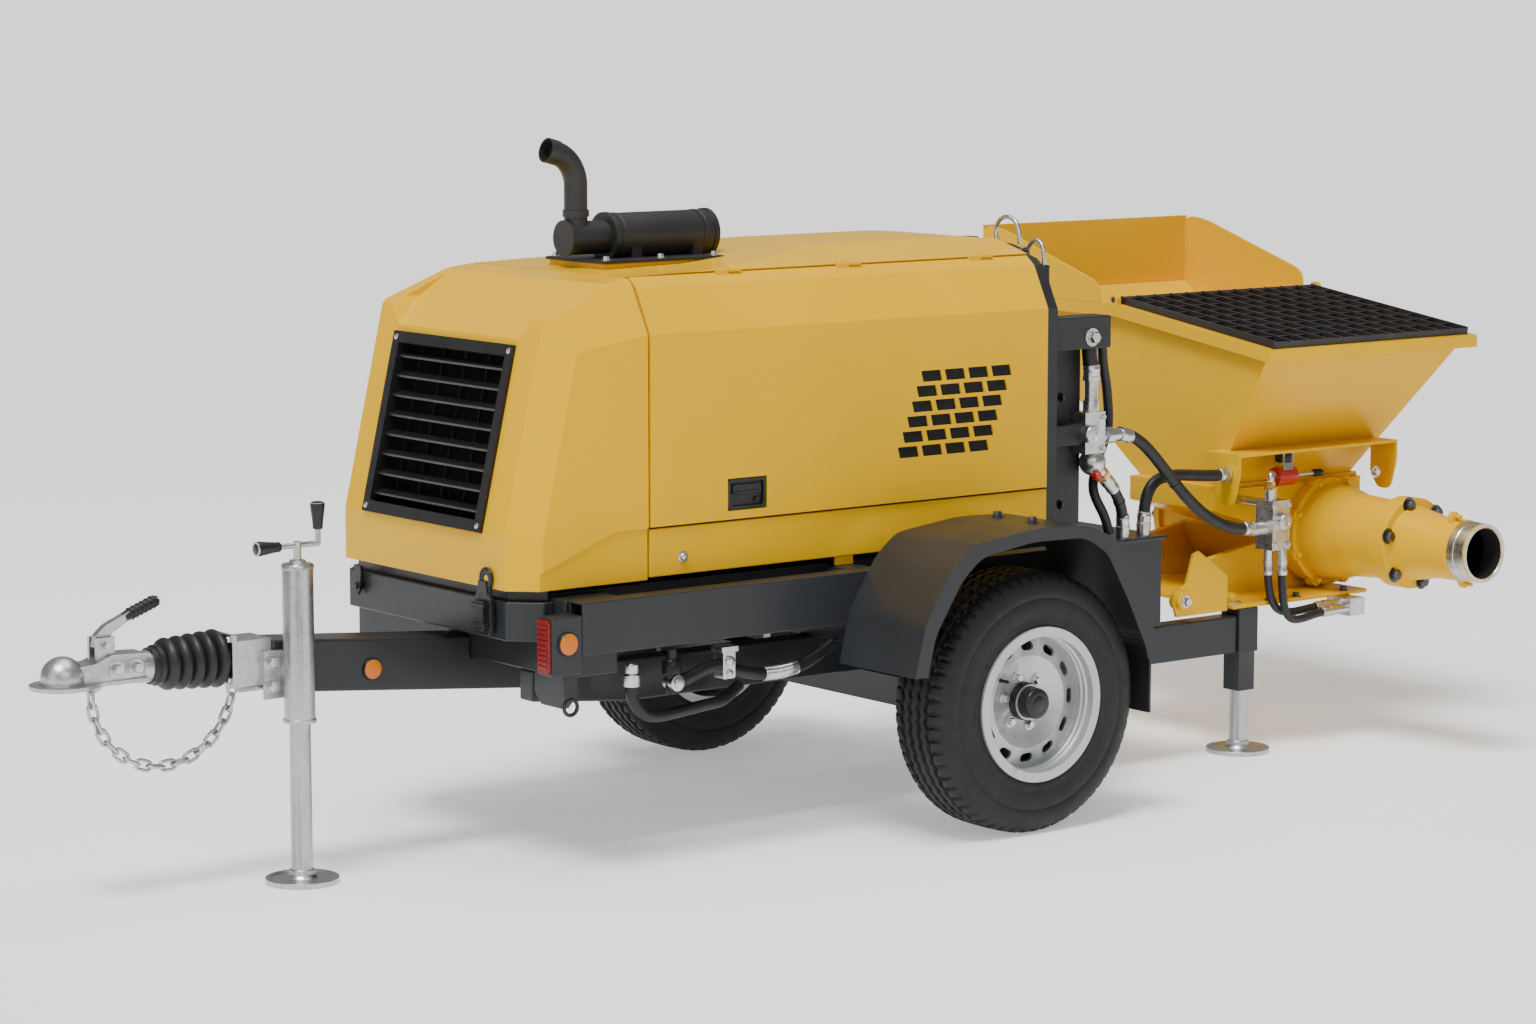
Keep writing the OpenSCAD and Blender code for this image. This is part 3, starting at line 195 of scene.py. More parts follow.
MAT = {
    "yellow_paint": paint(
        "yellow paint", (0.72, 0.40, 0.0), (0.77, 0.43, 0.0), (0.20, 0.30), peel=0.0003,
        specular=0.35, tint=(1.0, 0.62, 0.04),
    ),
    "anthracite_paint": paint(
        "anthracite paint", (0.017, 0.019, 0.021), (0.024, 0.026, 0.029), (0.30, 0.38),
        specular=0.34,
    ),
    "black_paint": paint(
        "black paint", (0.010, 0.010, 0.011), (0.018, 0.018, 0.019), (0.42, 0.58)
    ),
    "galvanised": zinc(
        "galvanised steel", (0.40, 0.41, 0.42), (0.54, 0.55, 0.56), (0.30, 0.44), grain=160.0
    ),
    "silver_paint": paint(
        "silver paint", (0.46, 0.47, 0.48), (0.55, 0.56, 0.57), (0.38, 0.5), metallic=0.7
    ),
    "tyre_rubber": moulded(
        "tyre rubber", (0.010, 0.010, 0.010), (0.016, 0.016, 0.016), (0.5, 0.66), specular=0.3
    ),
    "soft_rubber": moulded(
        "soft rubber", (0.008, 0.008, 0.009), (0.016, 0.016, 0.017), (0.38, 0.52), grain=300.0
    ),
    "black_plastic": moulded(
        "black plastic", (0.008, 0.008, 0.009), (0.014, 0.014, 0.015), (0.26, 0.40), grain=700.0
    ),
    "plated_steel": machined(
        "plated steel", (0.50, 0.50, 0.49), (0.66, 0.66, 0.65), (0.22, 0.38)
    ),
    "dark_steel": machined(
        "dark bolt steel", (0.07, 0.075, 0.08), (0.12, 0.125, 0.13), (0.32, 0.46)
    ),
    "brass": machined("brass", (0.62, 0.38, 0.10), (0.76, 0.50, 0.17), (0.24, 0.36)),
    "red_paint": paint(
        "red paint", (0.42, 0.010, 0.008), (0.55, 0.016, 0.012), (0.25, 0.36), coat=0.3
    ),
    "red_lens": lens("red lens", (0.15, 0.001, 0.001), (0.24, 0.003, 0.002)),
    "amber_lens": lens("amber lens", (0.55, 0.135, 0.0), (0.64, 0.17, 0.0)),
    # painted shade: a near-black, very rough fill for the shade inside openings, used for the
    # radiator core, the vent screens and the outlet bore
    "dark_inside": moulded(
        "painted shade dark", (0.004, 0.004, 0.004), (0.008, 0.008, 0.008), (0.8, 0.95)
    ),
}

# ---------------------------------------------------------------- mesh helpers

BEVEL_ANGLE = 35.0  # edges that turn by more than this are rounded
SMOOTH_ANGLE = 38.0  # edges that turn by less than this are shaded smooth
MERGE = 2e-5  # corners closer than this become one, metres
FLAT_ANGLE = 0.8  # faces that turn by less than this become one
CORNER_STEPS = 6
HOSE_STEPS = 28
# sizes of a bolt, as parts of its width over flats and of its head's height
WASHER_R, WASHER_H, HEAD_H = 0.86, 0.1, 0.62
CHAMFER_R, CHAMFER_H = 0.86, 0.82
BOLT_BEVEL = 0.6


def add_object(name, data):
    """New object in the scene."""
    obj = bpy.data.objects.new(name, data)
    bpy.context.scene.collection.objects.link(obj)
    return obj


def place(name, bm, look, body, bevel=0, segments=2, angle=BEVEL_ANGLE,
          smooth=SMOOTH_ANGLE):
    """Turns a bmesh into a piece that rides on a body."""
    mesh = bpy.data.meshes.new(name)
    bmesh.ops.recalc_face_normals(bm, faces=bm.faces)
    bm.to_mesh(mesh)
    bm.free()
    mesh.materials.append(MAT[look])
    obj = add_object(name, mesh)
    mesh.shade_smooth()
    mesh.set_sharp_from_angle(angle=math.radians(smooth))
    if bevel:
        mod = obj.modifiers.new("edges", "BEVEL")
        mod.width = bevel / MM
        mod.segments = segments
        mod.limit_method = "ANGLE"
        mod.angle_limit = math.radians(angle)
        mod.use_clamp_overlap = True
        mod.harden_normals = True
    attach(obj, body)
    return obj


def dressed(node, bevel, segments=2, look=None, angle=BEVEL_ANGLE, smooth=SMOOTH_ANGLE):
    """The CAD node's own shape with rounded edges."""
    bm = bmesh.new()
    bm.from_mesh(frame["nodes"][node].data)
    bmesh.ops.remove_doubles(bm, verts=bm.verts, dist=MERGE)
    bmesh.ops.dissolve_limit(
        bm, angle_limit=math.radians(FLAT_ANGLE), verts=bm.verts, edges=bm.edges
    )
    for layer in list(bm.loops.layers.uv.values()):
        bm.loops.layers.uv.remove(layer)
    slot = SLOT_OF[node]
    obj = place(
        node + "_look", bm, look or slot, BODY_OF[node], bevel, segments, angle, smooth
    )
    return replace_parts(obj, node)


def axis_turn(axis):
    """Rotation that takes +Z to the given direction."""
    return Vector(Z).rotation_difference(Vector(axis).normalized()).to_matrix().to_4x4()


def basis(origin, x_axis, y_axis):
    """Matrix with the given origin and in-plane directions."""
    x = Vector(x_axis).normalized()
    y = Vector(y_axis).normalized()
    m = Matrix((x, y, x.cross(y))).transposed().to_4x4()
    m.translation = origin
    return m


def side_wall(origin, side):
    """Matrix of an upright plane that faces out to one side."""
    return basis(origin, (-side, 0, 0), Z)


def shifted(matrix, x, y, z=0):
    """The matrix moved within its own axes."""
    return matrix @ Matrix.Translation((x / MM, y / MM, z / MM))


def evenly(count, start=0):
    """Angles of points spread evenly around a circle."""
    return [start + 360 * k / count for k in range(count)]


def on_circle(middle, r, angles, u=X, v=Z):
    """Points on a circle in the plane of u and v."""
    turns = [math.radians(a) for a in angles]
    return [middle + r / MM * (math.cos(a) * Vector(u) + math.sin(a) * Vector(v)) for a in turns]


def rounded(half_x, half_y, r):
    """Outline of a rectangle with round corners."""
    out = []
    for cx, cy, start in ((1, 1, 0), (-1, 1, 90), (-1, -1, 180), (1, -1, 270)):
        for k in range(CORNER_STEPS + 1):
            a = math.radians(start + 90 * k / CORNER_STEPS)
            out.append((cx * (half_x - r) + r * math.cos(a), cy * (half_y - r) + r * math.sin(a)))
    return out


def oblong(half_x, half_y):
    """Outline of a rectangle."""
    return [(-half_x, -half_y), (half_x, -half_y), (half_x, half_y), (-half_x, half_y)]


def bridge(bm, a, b):
    """Adds the faces between two rings; a ring of one corner is the tip of a cone."""
    count = max(len(a), len(b))
    for k in range(count):
        m = (k + 1) % count
        if len(a) == 1:
            bm.faces.new((a[0], b[k], b[m]))
        elif len(b) == 1:
            bm.faces.new((a[k], a[m], b[0]))
        else:
            bm.faces.new((a[k], a[m], b[m], b[k]))


def add_lathe(bm, origin, axis, profile, steps, closed=False):
    """Adds a turned shape; profile holds (radius, height) pairs along the axis."""
    turn = Matrix.Translation(origin) @ axis_turn(axis)
    rings = []
    for r, h in profile:
        angles = [math.tau * k / steps for k in range(steps if r else 1)]
        rings.append([
            bm.verts.new(turn @ Vector((r / MM * math.cos(a), r / MM * math.sin(a), h / MM)))
            for a in angles
        ])
    for a, b in zip(rings, rings[1:]):
        bridge(bm, a, b)
    if closed:
        bridge(bm, rings[-1], rings[0])
        return
    for ring in (rings[0], rings[-1]):
        if len(ring) > 1:
            bm.faces.new(ring)


def raised(bm, outline, height, matrix):
    """Corners of a flat outline at a height over its plane."""
    return [bm.verts.new(matrix @ Vector((x / MM, y / MM, height / MM))) for x, y in outline]


def add_prism(bm, outline, depth, matrix):
    """Adds a flat outline thickened along its own Z from 0 to depth."""
    low, top = raised(bm, outline, 0, matrix), raised(bm, outline, depth, matrix)
    bm.faces.new(low)
    bm.faces.new(top)
    bridge(bm, low, top)


def add_frame(bm, outer, inner, depth, matrix):
    """Adds the band between two outlines with the same number of points, thickened along Z."""
    edges = ((outer, 0), (outer, depth), (inner, depth), (inner, 0))
    rings = [raised(bm, outline, height, matrix) for outline, height in edges]
    for a, b in zip(rings, rings[1:] + rings[:1]):
        bridge(bm, a, b)


def add_box(bm, low, high):
    """Adds a box between two corners in the frame."""
    size = Matrix.Diagonal((*(high - low), 1.0))
    bmesh.ops.create_cube(bm, size=1.0, matrix=Matrix.Translation((high + low) / 2) @ size)


def curve_points(anchors, per_span):
    """Smooth line through the anchors, which are as for at()."""
    pts = [at(*p) for p in anchors]
    ends = [2 * pts[0] - pts[1], *pts, 2 * pts[-1] - pts[-2]]
    out = []
    for i in range(1, len(ends) - 2):
        a, b, c, d = ends[i - 1 : i + 3]
        square = 2 * a - 5 * b + 4 * c - d
        cube = 3 * b - a - 3 * c + d
        for k in range(per_span):
            t = k / per_span
            out.append(0.5 * (2 * b + (c - a) * t + square * t**2 + cube * t**3))
    out.append(pts[-1])
    return out


def bezier(corners):
    """Points on a curve with two handles; the corners are as for at()."""
    a, b, c, d = [Vector(p) for p in corners]
    out = []
    for i in range(HOSE_STEPS + 1):
        t = i / HOSE_STEPS
        u = 1 - t
        out.append(at(*(u**3 * a + 3 * u * u * t * b + 3 * u * t * t * c + t**3 * d)))
    return out


def add_tube(bm, points, radius, sides, closed=False):
    """Adds a round tube along points in the frame; radius is one number or one for each point."""
    n = len(points)
    radii = radius if isinstance(radius, list) else [radius] * n
    tangents = []
    for i in range(n):
        a = points[(i - 1) % n] if closed or i > 0 else points[i]
        b = points[(i + 1) % n] if closed or i < n - 1 else points[i]
        tangents.append((b - a).normalized())
    side = tangents[0].orthogonal().normalized()
    angles = [math.tau * k / sides for k in range(sides)]
    rings = []
    for i in range(n):
        if i:
            side = tangents[i - 1].rotation_difference(tangents[i]) @ side
        side = (side - side.dot(tangents[i]) * tangents[i]).normalized()
        up = tangents[i].cross(side)
        r = radii[i] / MM
        rings.append([
            bm.verts.new(points[i] + r * (math.cos(a) * side + math.sin(a) * up)) for a in angles
        ])
    for a, b in zip(rings, rings[1:]):
        bridge(bm, a, b)
    if not closed:
        bm.faces.new(rings[0])
        bm.faces.new(rings[-1])
        return
    # the ring at the start is turned to the place that twists the last span least
    starts = [rings[0][j:] + rings[0][:j] for j in range(sides)]
    last = rings[-1]
    bridge(bm, last, min(
        starts, key=lambda ring: sum((a.co - b.co).length for a, b in zip(last, ring))
    ))


def add_bolt(bm, origin, axis, across):
    """Adds a hex head with a chamfered top on a washer; across is the width over flats."""
    edge, base = across * WASHER_R, across * WASHER_H
    add_lathe(bm, origin, axis, [(edge, 0), (edge, base), (0, base)], steps=24)
    r, h = across / math.sqrt(3), across * HEAD_H
    head = [(r, base), (r, base + h * CHAMFER_H), (r * CHAMFER_R, base + h)]
    add_lathe(bm, origin, axis, head, steps=6)


def bolts(name, look, body, items):
    """One piece with several bolts; items holds (origin, axis, width over flats)."""
    bm = bmesh.new()
    for origin, axis, across in items:
        add_bolt(bm, origin, axis, across)
    place(name, bm, look, body, bevel=BOLT_BEVEL, segments=1)


def turned(name, look, body, parts, steps):
    """One piece made of turned shapes; parts holds (origin, axis, profile)."""
    bm = bmesh.new()
    for origin, axis, profile in parts:
        add_lathe(bm, origin, axis, profile, steps)
    place(name, bm, look, body)


# ---------------------------------------------------------------- CAD shapes with rounded edges

FOLD_ANGLE = 6.0  # the hood's and the mudguards' flat folds are rounded from this angle on
for name, width, count in (
    ("side_beams", 6, 3), ("front_crossbar", 6, 3), ("crossmembers", 4, 2), ("rails", 6, 3),
    ("drawbar", 7, 3), ("axle_beam", 5, 2), ("mudflaps", 2, 2), ("overrun_housing", 3, 2),
    ("coupling_head", 4, 3), ("coupling_handle", 5, 3), ("jack_tube", 2, 2), ("jack_crank", 1.5, 2),
    ("jack_leg", 1.5, 2), ("leg_sleeves", 4, 2), ("rear_leg_left", 1.5, 2),
    ("rear_leg_right", 1.5, 2), ("front_grille", 1.8, 2), ("engine_block", 8, 2), ("muffler", 4, 3),
    ("exhaust_pipe", 3, 3), ("hydraulic_tank", 5, 2), ("hopper", 2.5, 2), ("hopper_guard", 2, 2),
    ("hopper_grate", 2, 2), ("pump_housing", 5, 3), ("pump_cone", 4, 3), ("outlet_pipe", 3, 3),
    ("pump_saddle", 3, 2), ("valve_blocks", 4, 3), ("lamp_boxes", 4, 2), ("hood_latches", 2, 2),
    ("rim_left", 3, 2), ("rim_right", 3, 2),
):
    dressed(name, width, count)
# painted shade: black paint in place of the bulkhead's anthracite, for the dark behind the hood's
# rear
dressed("rear_bulkhead", 4, look="black_paint")
for name, width in (
    ("hood_nose", 7), ("hood_roof", 5), ("door_left", 5), ("door_right", 5), ("hood_sills", 3),
    ("mudguard_left", 5), ("mudguard_right", 5),
):
    dressed(name, width, 3, angle=FOLD_ANGLE, smooth=FOLD_ANGLE)

# ---------------------------------------------------------------- wheels

AXLE_Z = 350
WHEEL_Y = 718
TYRE_STEPS = 432
# half of the tyre's section, as (width, radius) pairs; the rest is in tyre_line
TYRE_WALL = [
    (96, 191), (99, 205), (101, 209), (102.5, 214), (104, 221), (102.5, 226), (105, 238),
    (106.3, 252), (106.8, 262), (106, 276), (103.5, 283), (105.5, 287), (104.6, 300),
    (101.5, 313), (97, 324), (92, 332),
]
TREAD_HALF, TREAD_EDGE_R, TREAD_CROWN = 66, 348.6, 1.4
SIPES = 60  # around the tread, and as many zigzags in a groove
GROOVES = (-48, -17, 17, 48)
GROOVE_DEPTH, GROOVE_HALF, GROOVE_SLOPE, GROOVE_SWING = 10.0, 7.0, 1.6, 4.0
SIPE_DEPTH = 6.0
SIPE_HALF, SIPE_SLOPE = 0.17, 0.06  # as parts of the way from sipe to sipe
SIPE_FROM, SIPE_FADE_IN = 56, 4
SIPE_TO, SIPE_FADE_OUT = 92, 6
HUB_CAP = [
    (0, 34.5), (51, 34.5), (51, 54), (49, 58), (43, 60), (41.5, 62), (41, 88), (39, 93), (34, 96),
    (22, 96), (20, 98), (10, 99.5), (0, 100),
]
NUTS, NUT_START, NUT_CIRCLE, NUT_SEAT, NUT_ACROSS = 6, 12, 68, 34.2, 19
# the drum is black and reaches out to 172 so that it sits behind the rim's vent holes as painted
# shade
BRAKE_DRUM = [
    (62, 14), (120, 14), (168, 8), (172, 2), (172, -34), (158, -36), (158, -46), (66, -46),
    (62, -40),
]
BEAD_R = 182.6
BEAD = [(0, -7), (-5, -4), (-6.5, 0), (-5, 4), (0, 7)]
STEM_TURN, STEM_R, STEM_SEAT = math.degrees(0.6), 120, 50
STEM = [(0, 0), (6, 0), (6, 8), (4.2, 10), (4.2, 26), (4.8, 26), (4.8, 36), (3.6, 38), (0, 38)]


def tyre_line():
    """Section from the outer bead over the tread to the inner bead, as (width, radius) pairs."""
    shoulder = [(86 - 3 * k, 339.5 + 8.5 * math.sin(k * math.pi / 12)) for k in range(7)]
    tread = [
        (w, TREAD_EDGE_R + TREAD_CROWN * (1 - (w / TREAD_HALF) ** 2))
        for w in range(TREAD_HALF, -1, -2)
    ]
    outer = TYRE_WALL + shoulder + tread
    return outer + [(-w, r) for w, r in reversed(outer[:-1])]


def clamp(value):
    """The value held between 0 and 1."""
    return min(1.0, max(0.0, value))


def tread_depth(w, turn):
    """Depth of the zigzag grooves and of the shoulder sipes at one point of the tread."""
    wave = abs((turn * SIPES) % 1.0 - 0.5) * 4 - 1
    deep = 0.0
    for groove in GROOVES:
        away = abs(w - groove - GROOVE_SWING * wave)
        deep = max(deep, GROOVE_DEPTH * clamp((GROOVE_HALF - away) / GROOVE_SLOPE))
    if abs(w) > SIPE_FROM:
        phase = (turn * SIPES + (0.25 if w > 0 else 0.75)) % 1.0
        edge = clamp((SIPE_HALF - abs(phase - 0.5)) / SIPE_SLOPE)
        fade_in = clamp((abs(w) - SIPE_FROM) / SIPE_FADE_IN)
        fade_out = clamp((SIPE_TO - abs(w)) / SIPE_FADE_OUT)
        deep = max(deep, SIPE_DEPTH * edge * fade_in * fade_out)
    return deep


def tyre(side, name):
    """Tyre with a cut tread, turned about the axle."""
    middle = at(0, side * WHEEL_Y, AXLE_Z)
    line = tyre_line()
    bm = bmesh.new()
    rings = []
    for k in range(TYRE_STEPS):
        turn = k / TYRE_STEPS
        c, s = math.cos(math.tau * turn), math.sin(math.tau * turn)
        ring = []
        for w, r in line:
            radius = (r - tread_depth(w, turn)) / MM
            ring.append(bm.verts.new(middle + Vector((radius * c, side * w / MM, radius * s))))
        rings.append(ring)
    for a, b in zip(rings, rings[1:] + rings[:1]):
        bridge(bm, a, b)
    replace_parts(place(name + "_look", bm, "tyre_rubber", BODY_OF[name], smooth=34.0), name)


def hub(side, name):
    """Hub cap, nuts, brake drum, rim beads and valve of a wheel; the black drum is also painted
    shade in the rim's holes.
    """
    out = (0, side, 0)
    middle = at(0, side * WHEEL_Y, AXLE_Z)
    body = BODY_OF["rim_" + name]
    turned(name + "_hub_cap", "black_plastic", body, [(middle, out, HUB_CAP)], steps=64)
    seat = middle + NUT_SEAT / MM * Vector(out)
    bolts(name + "_wheel_nuts", "plated_steel", body, [
        (spot, out, NUT_ACROSS) for spot in on_circle(seat, NUT_CIRCLE, evenly(NUTS, NUT_START))
    ])
    bm = bmesh.new()
    # black drum: a brake drum, and painted shade behind the rim's vent holes
    add_lathe(bm, middle, out, BRAKE_DRUM, steps=64, closed=True)
    place(name + "_brake_drum_and_shade", bm, "black_paint", body, bevel=2)
    bm = bmesh.new()
    for w in (62, 80):
        add_lathe(bm, middle, out, [(BEAD_R + r, w + h) for r, h in BEAD], steps=96, closed=True)
    place(name + "_rim_beads", bm, "silver_paint", body, smooth=50.0)
    [stem] = on_circle(middle + STEM_SEAT / MM * Vector(out), STEM_R, [STEM_TURN])
    turned(name + "_valve", "black_plastic", body, [(stem, out, STEM)], steps=20)


for side, name in SIDES:
    tyre(side, "tyre_" + name)
    hub(side, name)

# ---------------------------------------------------------------- hitch

CHAIN_X, CHAIN_Z, CHAIN_R = 2160, 516, 198  # the arc that the chain hangs in
CHAIN_START = 2
LINKS, LINK_TURN = 17, 10
LINK_STEPS = 24
LINK_STRAIGHT = 10.06  # half of a link's straight part
LINK_R, LINK_WIRE = 12, 4.4
FOLDS, FOLD_PITCH, FOLD_STEPS = 5, 33.8, 12
FOLD_START, FOLD_R = 3, 52
FOLD_HEIGHT, FOLD_TAPER = 21.5, 2  # height of the first fold, and how much less each next one has
FOLD_POWER = 0.8  # below 1, a fold is fuller than a sine


def chain_spot(turn):
    """Point on the chain's arc, in millimetres from the axle."""
    a = math.radians(turn)
    return Vector((CHAIN_X + CHAIN_R * math.cos(a), 0, CHAIN_Z + CHAIN_R * math.sin(a)))


bm = bmesh.new()
for k in range(LINKS):
    a = chain_spot(CHAIN_START - LINK_TURN * k)
    b = chain_spot(CHAIN_START - LINK_TURN * (k + 1))
    along = (b - a).normalized()
    across = Vector(Y) if k % 2 == 0 else along.cross(Vector(Y))
    loop = []
    for j in range(LINK_STEPS):
        t = math.tau * j / LINK_STEPS
        push = math.copysign(LINK_STRAIGHT, math.cos(t)) + LINK_R * math.cos(t)
        loop.append(at(*((a + b) / 2 + push * along + LINK_R * math.sin(t) * across)))
    add_tube(bm, loop, LINK_WIRE, sides=12, closed=True)
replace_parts(place("chain_links", bm, "galvanised", "chassis"), "safety_chain")

bm = bmesh.new()
bellows = [(0, 0), (47, 0), (49, 4)]
for k in range(FOLDS):
    for j in range(FOLD_STEPS):
        t = j / FOLD_STEPS
        rise = (FOLD_HEIGHT - FOLD_TAPER * k) * math.sin(math.pi * t) ** FOLD_POWER
        bellows.append((FOLD_R + rise, FOLD_START + FOLD_PITCH * (k + t)))
bellows += [
    (46, 172), (46.5, 176), (51, 178), (51, 190), (46.5, 192), (46, 204.5), (0, 204.5)
]
add_lathe(bm, at(1995, 0, 573), X, bellows, steps=72)
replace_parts(place("bellows_folds", bm, "soft_rubber", "chassis", smooth=60.0), "bellows")

hitch_bolts = []
for s in BOTH:
    out = (0, s, 0)
    hitch_bolts += [(at(1890, s * 68, z), out, 26) for z in (560, 500)]
    hitch_bolts += [(at(x, s * 36, 580), out, 24) for x in (2250, 2304)]
    hitch_bolts.append((at(2326, s * 24, 639), out, 17))
hitch_bolts += [(at(1995, y, z), X, 15) for y in (-48, 48) for z in (523, 623)]
bolts("hitch_bolts", "plated_steel", "chassis", hitch_bolts)

LEVER = [(2262, 700), (2240, 709), (2205, 722), (2176, 733), (2168, 736)]
LEVER_R = [13, 15.5, 15.5, 15.5, 10]
LEVER_RIB = [(15.4, -2), (17, 0), (17, 2), (15.4, 4)]
bm = bmesh.new()
add_tube(bm, [at(x, 0, z) for x, z in LEVER], LEVER_R, sides=20)
for k in range(6):
    add_lathe(bm, at(2246 - 12 * k, 0, 706.6 + 4.6 * k), (-0.93, 0, 0.36), LEVER_RIB, steps=24)
place("lever_grip", bm, "black_plastic", "chassis")

CRANK_GRIP = [
    (0, -3), (11, -3), (13, 0), (13.2, 10), (15, 26), (18.8, 56), (18, 62), (12, 66), (0, 66)
]
JACK_CAP = [(0, 0), (41, 0), (41, 9), (38, 13), (22, 15), (20, 22), (13, 24), (0, 24)]
turned("crank_grips", "black_plastic", "chassis", [
    (at(1774, 108, 892), Z, CRANK_GRIP), (at(1887, 108, 853), X, CRANK_GRIP)
], steps=32)
turned("jack_cap", "galvanised", "chassis", [(at(1834, 108, 794), Z, JACK_CAP)], steps=40)

# ---------------------------------------------------------------- lights

RIGHT_SHORT = 140  # the right beam ends this much sooner


def reflector(name, origin, out, r):
    """Round amber reflector in a black rim."""
    rim = [(0, 0), (r + 3.5, 0), (r + 3.5, 4), (r + 2, 6), (r, 6), (0, 5)]
    glass = [(0, 5), (r - 0.4, 5), (r - 0.4, 6.6), (r - 2.4, 8), (r * 0.5, 9.2), (0, 9.6)]
    turned(name + "_rim", "black_plastic", "chassis", [(origin, out, rim)], steps=48)
    turned(name + "_lens", "amber_lens", "chassis", [(origin, out, glass)], steps=48)


for s, side in SIDES:
    out = (0, s, 0)
    back = 0 if s > 0 else RIGHT_SHORT
    reflector("lamp_reflector_" + side, at(1325 - back, s * 548, 610), out, 27)
    bm = bmesh.new()
    add_prism(bm, rounded(24, 67, 7), 9, basis(at(1372 - back, s * 518, 605), Y, Z))
    for k in range(9):
        rib = basis(at(1381 - back, s * 518, 553 + 13 * k), Y, Z)
        add_prism(bm, rounded(20, 4.2, 2), 2.2, rib)
    place("tail_lamp_" + side, bm, "red_lens", "chassis", bevel=1.5)
    reflector("drawbar_reflector_" + side, at(1591, s * 60, 509), out, 25)
    bm = bmesh.new()
    add_prism(bm, rounded(20, 34, 8), 5, basis(at(1287 - back, s * 506, 495), X, Z))
    ring = on_circle(at(1287 - back, s * 504, 440), 20, evenly(28))
    add_tube(bm, ring, 5.2, sides=12, closed=True)
    place("tie_ring_" + side, bm, "black_paint", "chassis", bevel=1)

# ---------------------------------------------------------------- hood

GRILLE = at(1342.5, 0, 1098)
GRILLE_UP = Vector((-0.225, 0, 0.974))
GRILLE_OUT = Vector((0.974, 0, 0.225))
RIVET = [(0, 0), (8, 0), (8, 1.6), (6.2, 3), (3, 3.6), (2.4, 2.4), (0, 2.4)]
rivets = []
for s in BOTH:
    for t in BOTH:
        spot = GRILLE + (s * 262 * Vector(Y) + t * 224 * GRILLE_UP + 10 * GRILLE_OUT) / MM
        rivets.append((spot, GRILLE_OUT, RIVET))
turned("grille_rivets", "plated_steel", "chassis", rivets, steps=28)
# the radiator core is drawn in the painted-shade fill, so it is a real core and also painted shade
# behind the grille
bm = bmesh.new()
core = basis(GRILLE - 62 / MM * GRILLE_OUT, Y, GRILLE_UP)
add_prism(bm, rounded(256, 218, 10), 4, core)
for k in range(43):
    add_prism(bm, oblong(0.8, 212), 7, shifted(core, -252 + 12 * k, 0, 4))
for k in range(5):
    add_prism(bm, oblong(3, 212), 10, shifted(core, -210 + 105 * k, 0, 11))
for s in BOTH:
    add_prism(bm, oblong(4.3, 219), 58, shifted(core, s * 253.3, 0))
    add_prism(bm, oblong(248, 4.3), 58, shifted(core, 0, s * 215.3))
place("radiator_core", bm, "dark_inside", "chassis")

VENT_X, VENT_Z = -20, 1095
VENT_ROWS, VENT_COLUMNS = 6, 4
VENT_UP, VENT_ALONG, VENT_LEAN = 40, 82, 16
VENT_SLOT = [(-29.8, 14.8), (37.7, 14.8), (29.8, -14.8), (-37.7, -14.8)]
SILL_BOLT = [
    (0, 0), (15, 0), (15, 2.5), (11, 3.5), (10.4, 8), (8, 10.5), (4.6, 11), (4.2, 9), (0, 9)
]
for s, side in SIDES:
    door = BODY_OF["door_" + side]
    bm = bmesh.new()
    wall = side_wall(at(684, s * 433, 927), s)
    add_prism(bm, rounded(60, 38, 9), 2, wall)
    add_frame(bm, rounded(62, 40, 10), rounded(53, 31, 7), 11, wall)
    add_prism(bm, rounded(46, 13, 5), 9, shifted(wall, 0, 12))
    add_prism(bm, rounded(44, 3.5, 3), 13, shifted(wall, 0, 3.5))
    add_prism(bm, rounded(7, 7, 6.5), 8, shifted(wall, 34, -18))
    place("paddle_latch_" + side, bm, "black_plastic", door, bevel=1.6)
    # the vent screen's bars and the solid slots in the door's vents are in the painted-shade fill:
    # painted shade in the openings
    bm = bmesh.new()
    for z in range(968, 1228, 13):
        add_box(bm, at(-232, s * 416 - 2, z), at(192, s * 416 + 2, z + 8))
    for x in (-236, -130, -20, 90, 192):
        add_box(bm, at(x, s * 412 - 2, 962), at(x + 6, s * 412 + 2, 1228))
    slot = [(-s * x, z) for x, z in VENT_SLOT]
    for row in range(VENT_ROWS):
        up = row - (VENT_ROWS - 1) / 2
        for column in range(VENT_COLUMNS):
            along = column - (VENT_COLUMNS - 1) / 2
            x = VENT_X + along * VENT_ALONG - up * VENT_LEAN
            add_prism(bm, slot, 22, side_wall(at(x, s * 418, VENT_Z + up * VENT_UP), s))
    place("vent_screen_" + side, bm, "dark_inside", door)
    turned("sill_bolt_" + side, "plated_steel", "chassis", [
        (at(890, s * 439, 779), (0, s, 0), SILL_BOLT)
    ], steps=32)

bm = bmesh.new()
tray = rounded(840, 400, 30)
floor_plane = basis(at(445, 0, 688), X, Y)
add_prism(bm, tray, 4, floor_plane)
add_frame(bm, tray, rounded(836, 396, 28), 26, floor_plane)
place("engine_tray", bm, "black_paint", "chassis", bevel=1)

MUFFLER_BAND = [
    (61, 0), (63.2, 0), (63.2, 3), (62.4, 4.5), (63.2, 6), (63.2, 15), (61, 15)
]
bolts("exhaust_bolts", "plated_steel", "chassis", [
    (at(x, y, 1520), Z, 16) for x in (545, 895, 720) for y in (-116, 116)
])
turned("muffler_bands", "black_paint", "chassis", [
    (at(x, 0, 1574), X, MUFFLER_BAND) for x in (520, 787)
], steps=64)

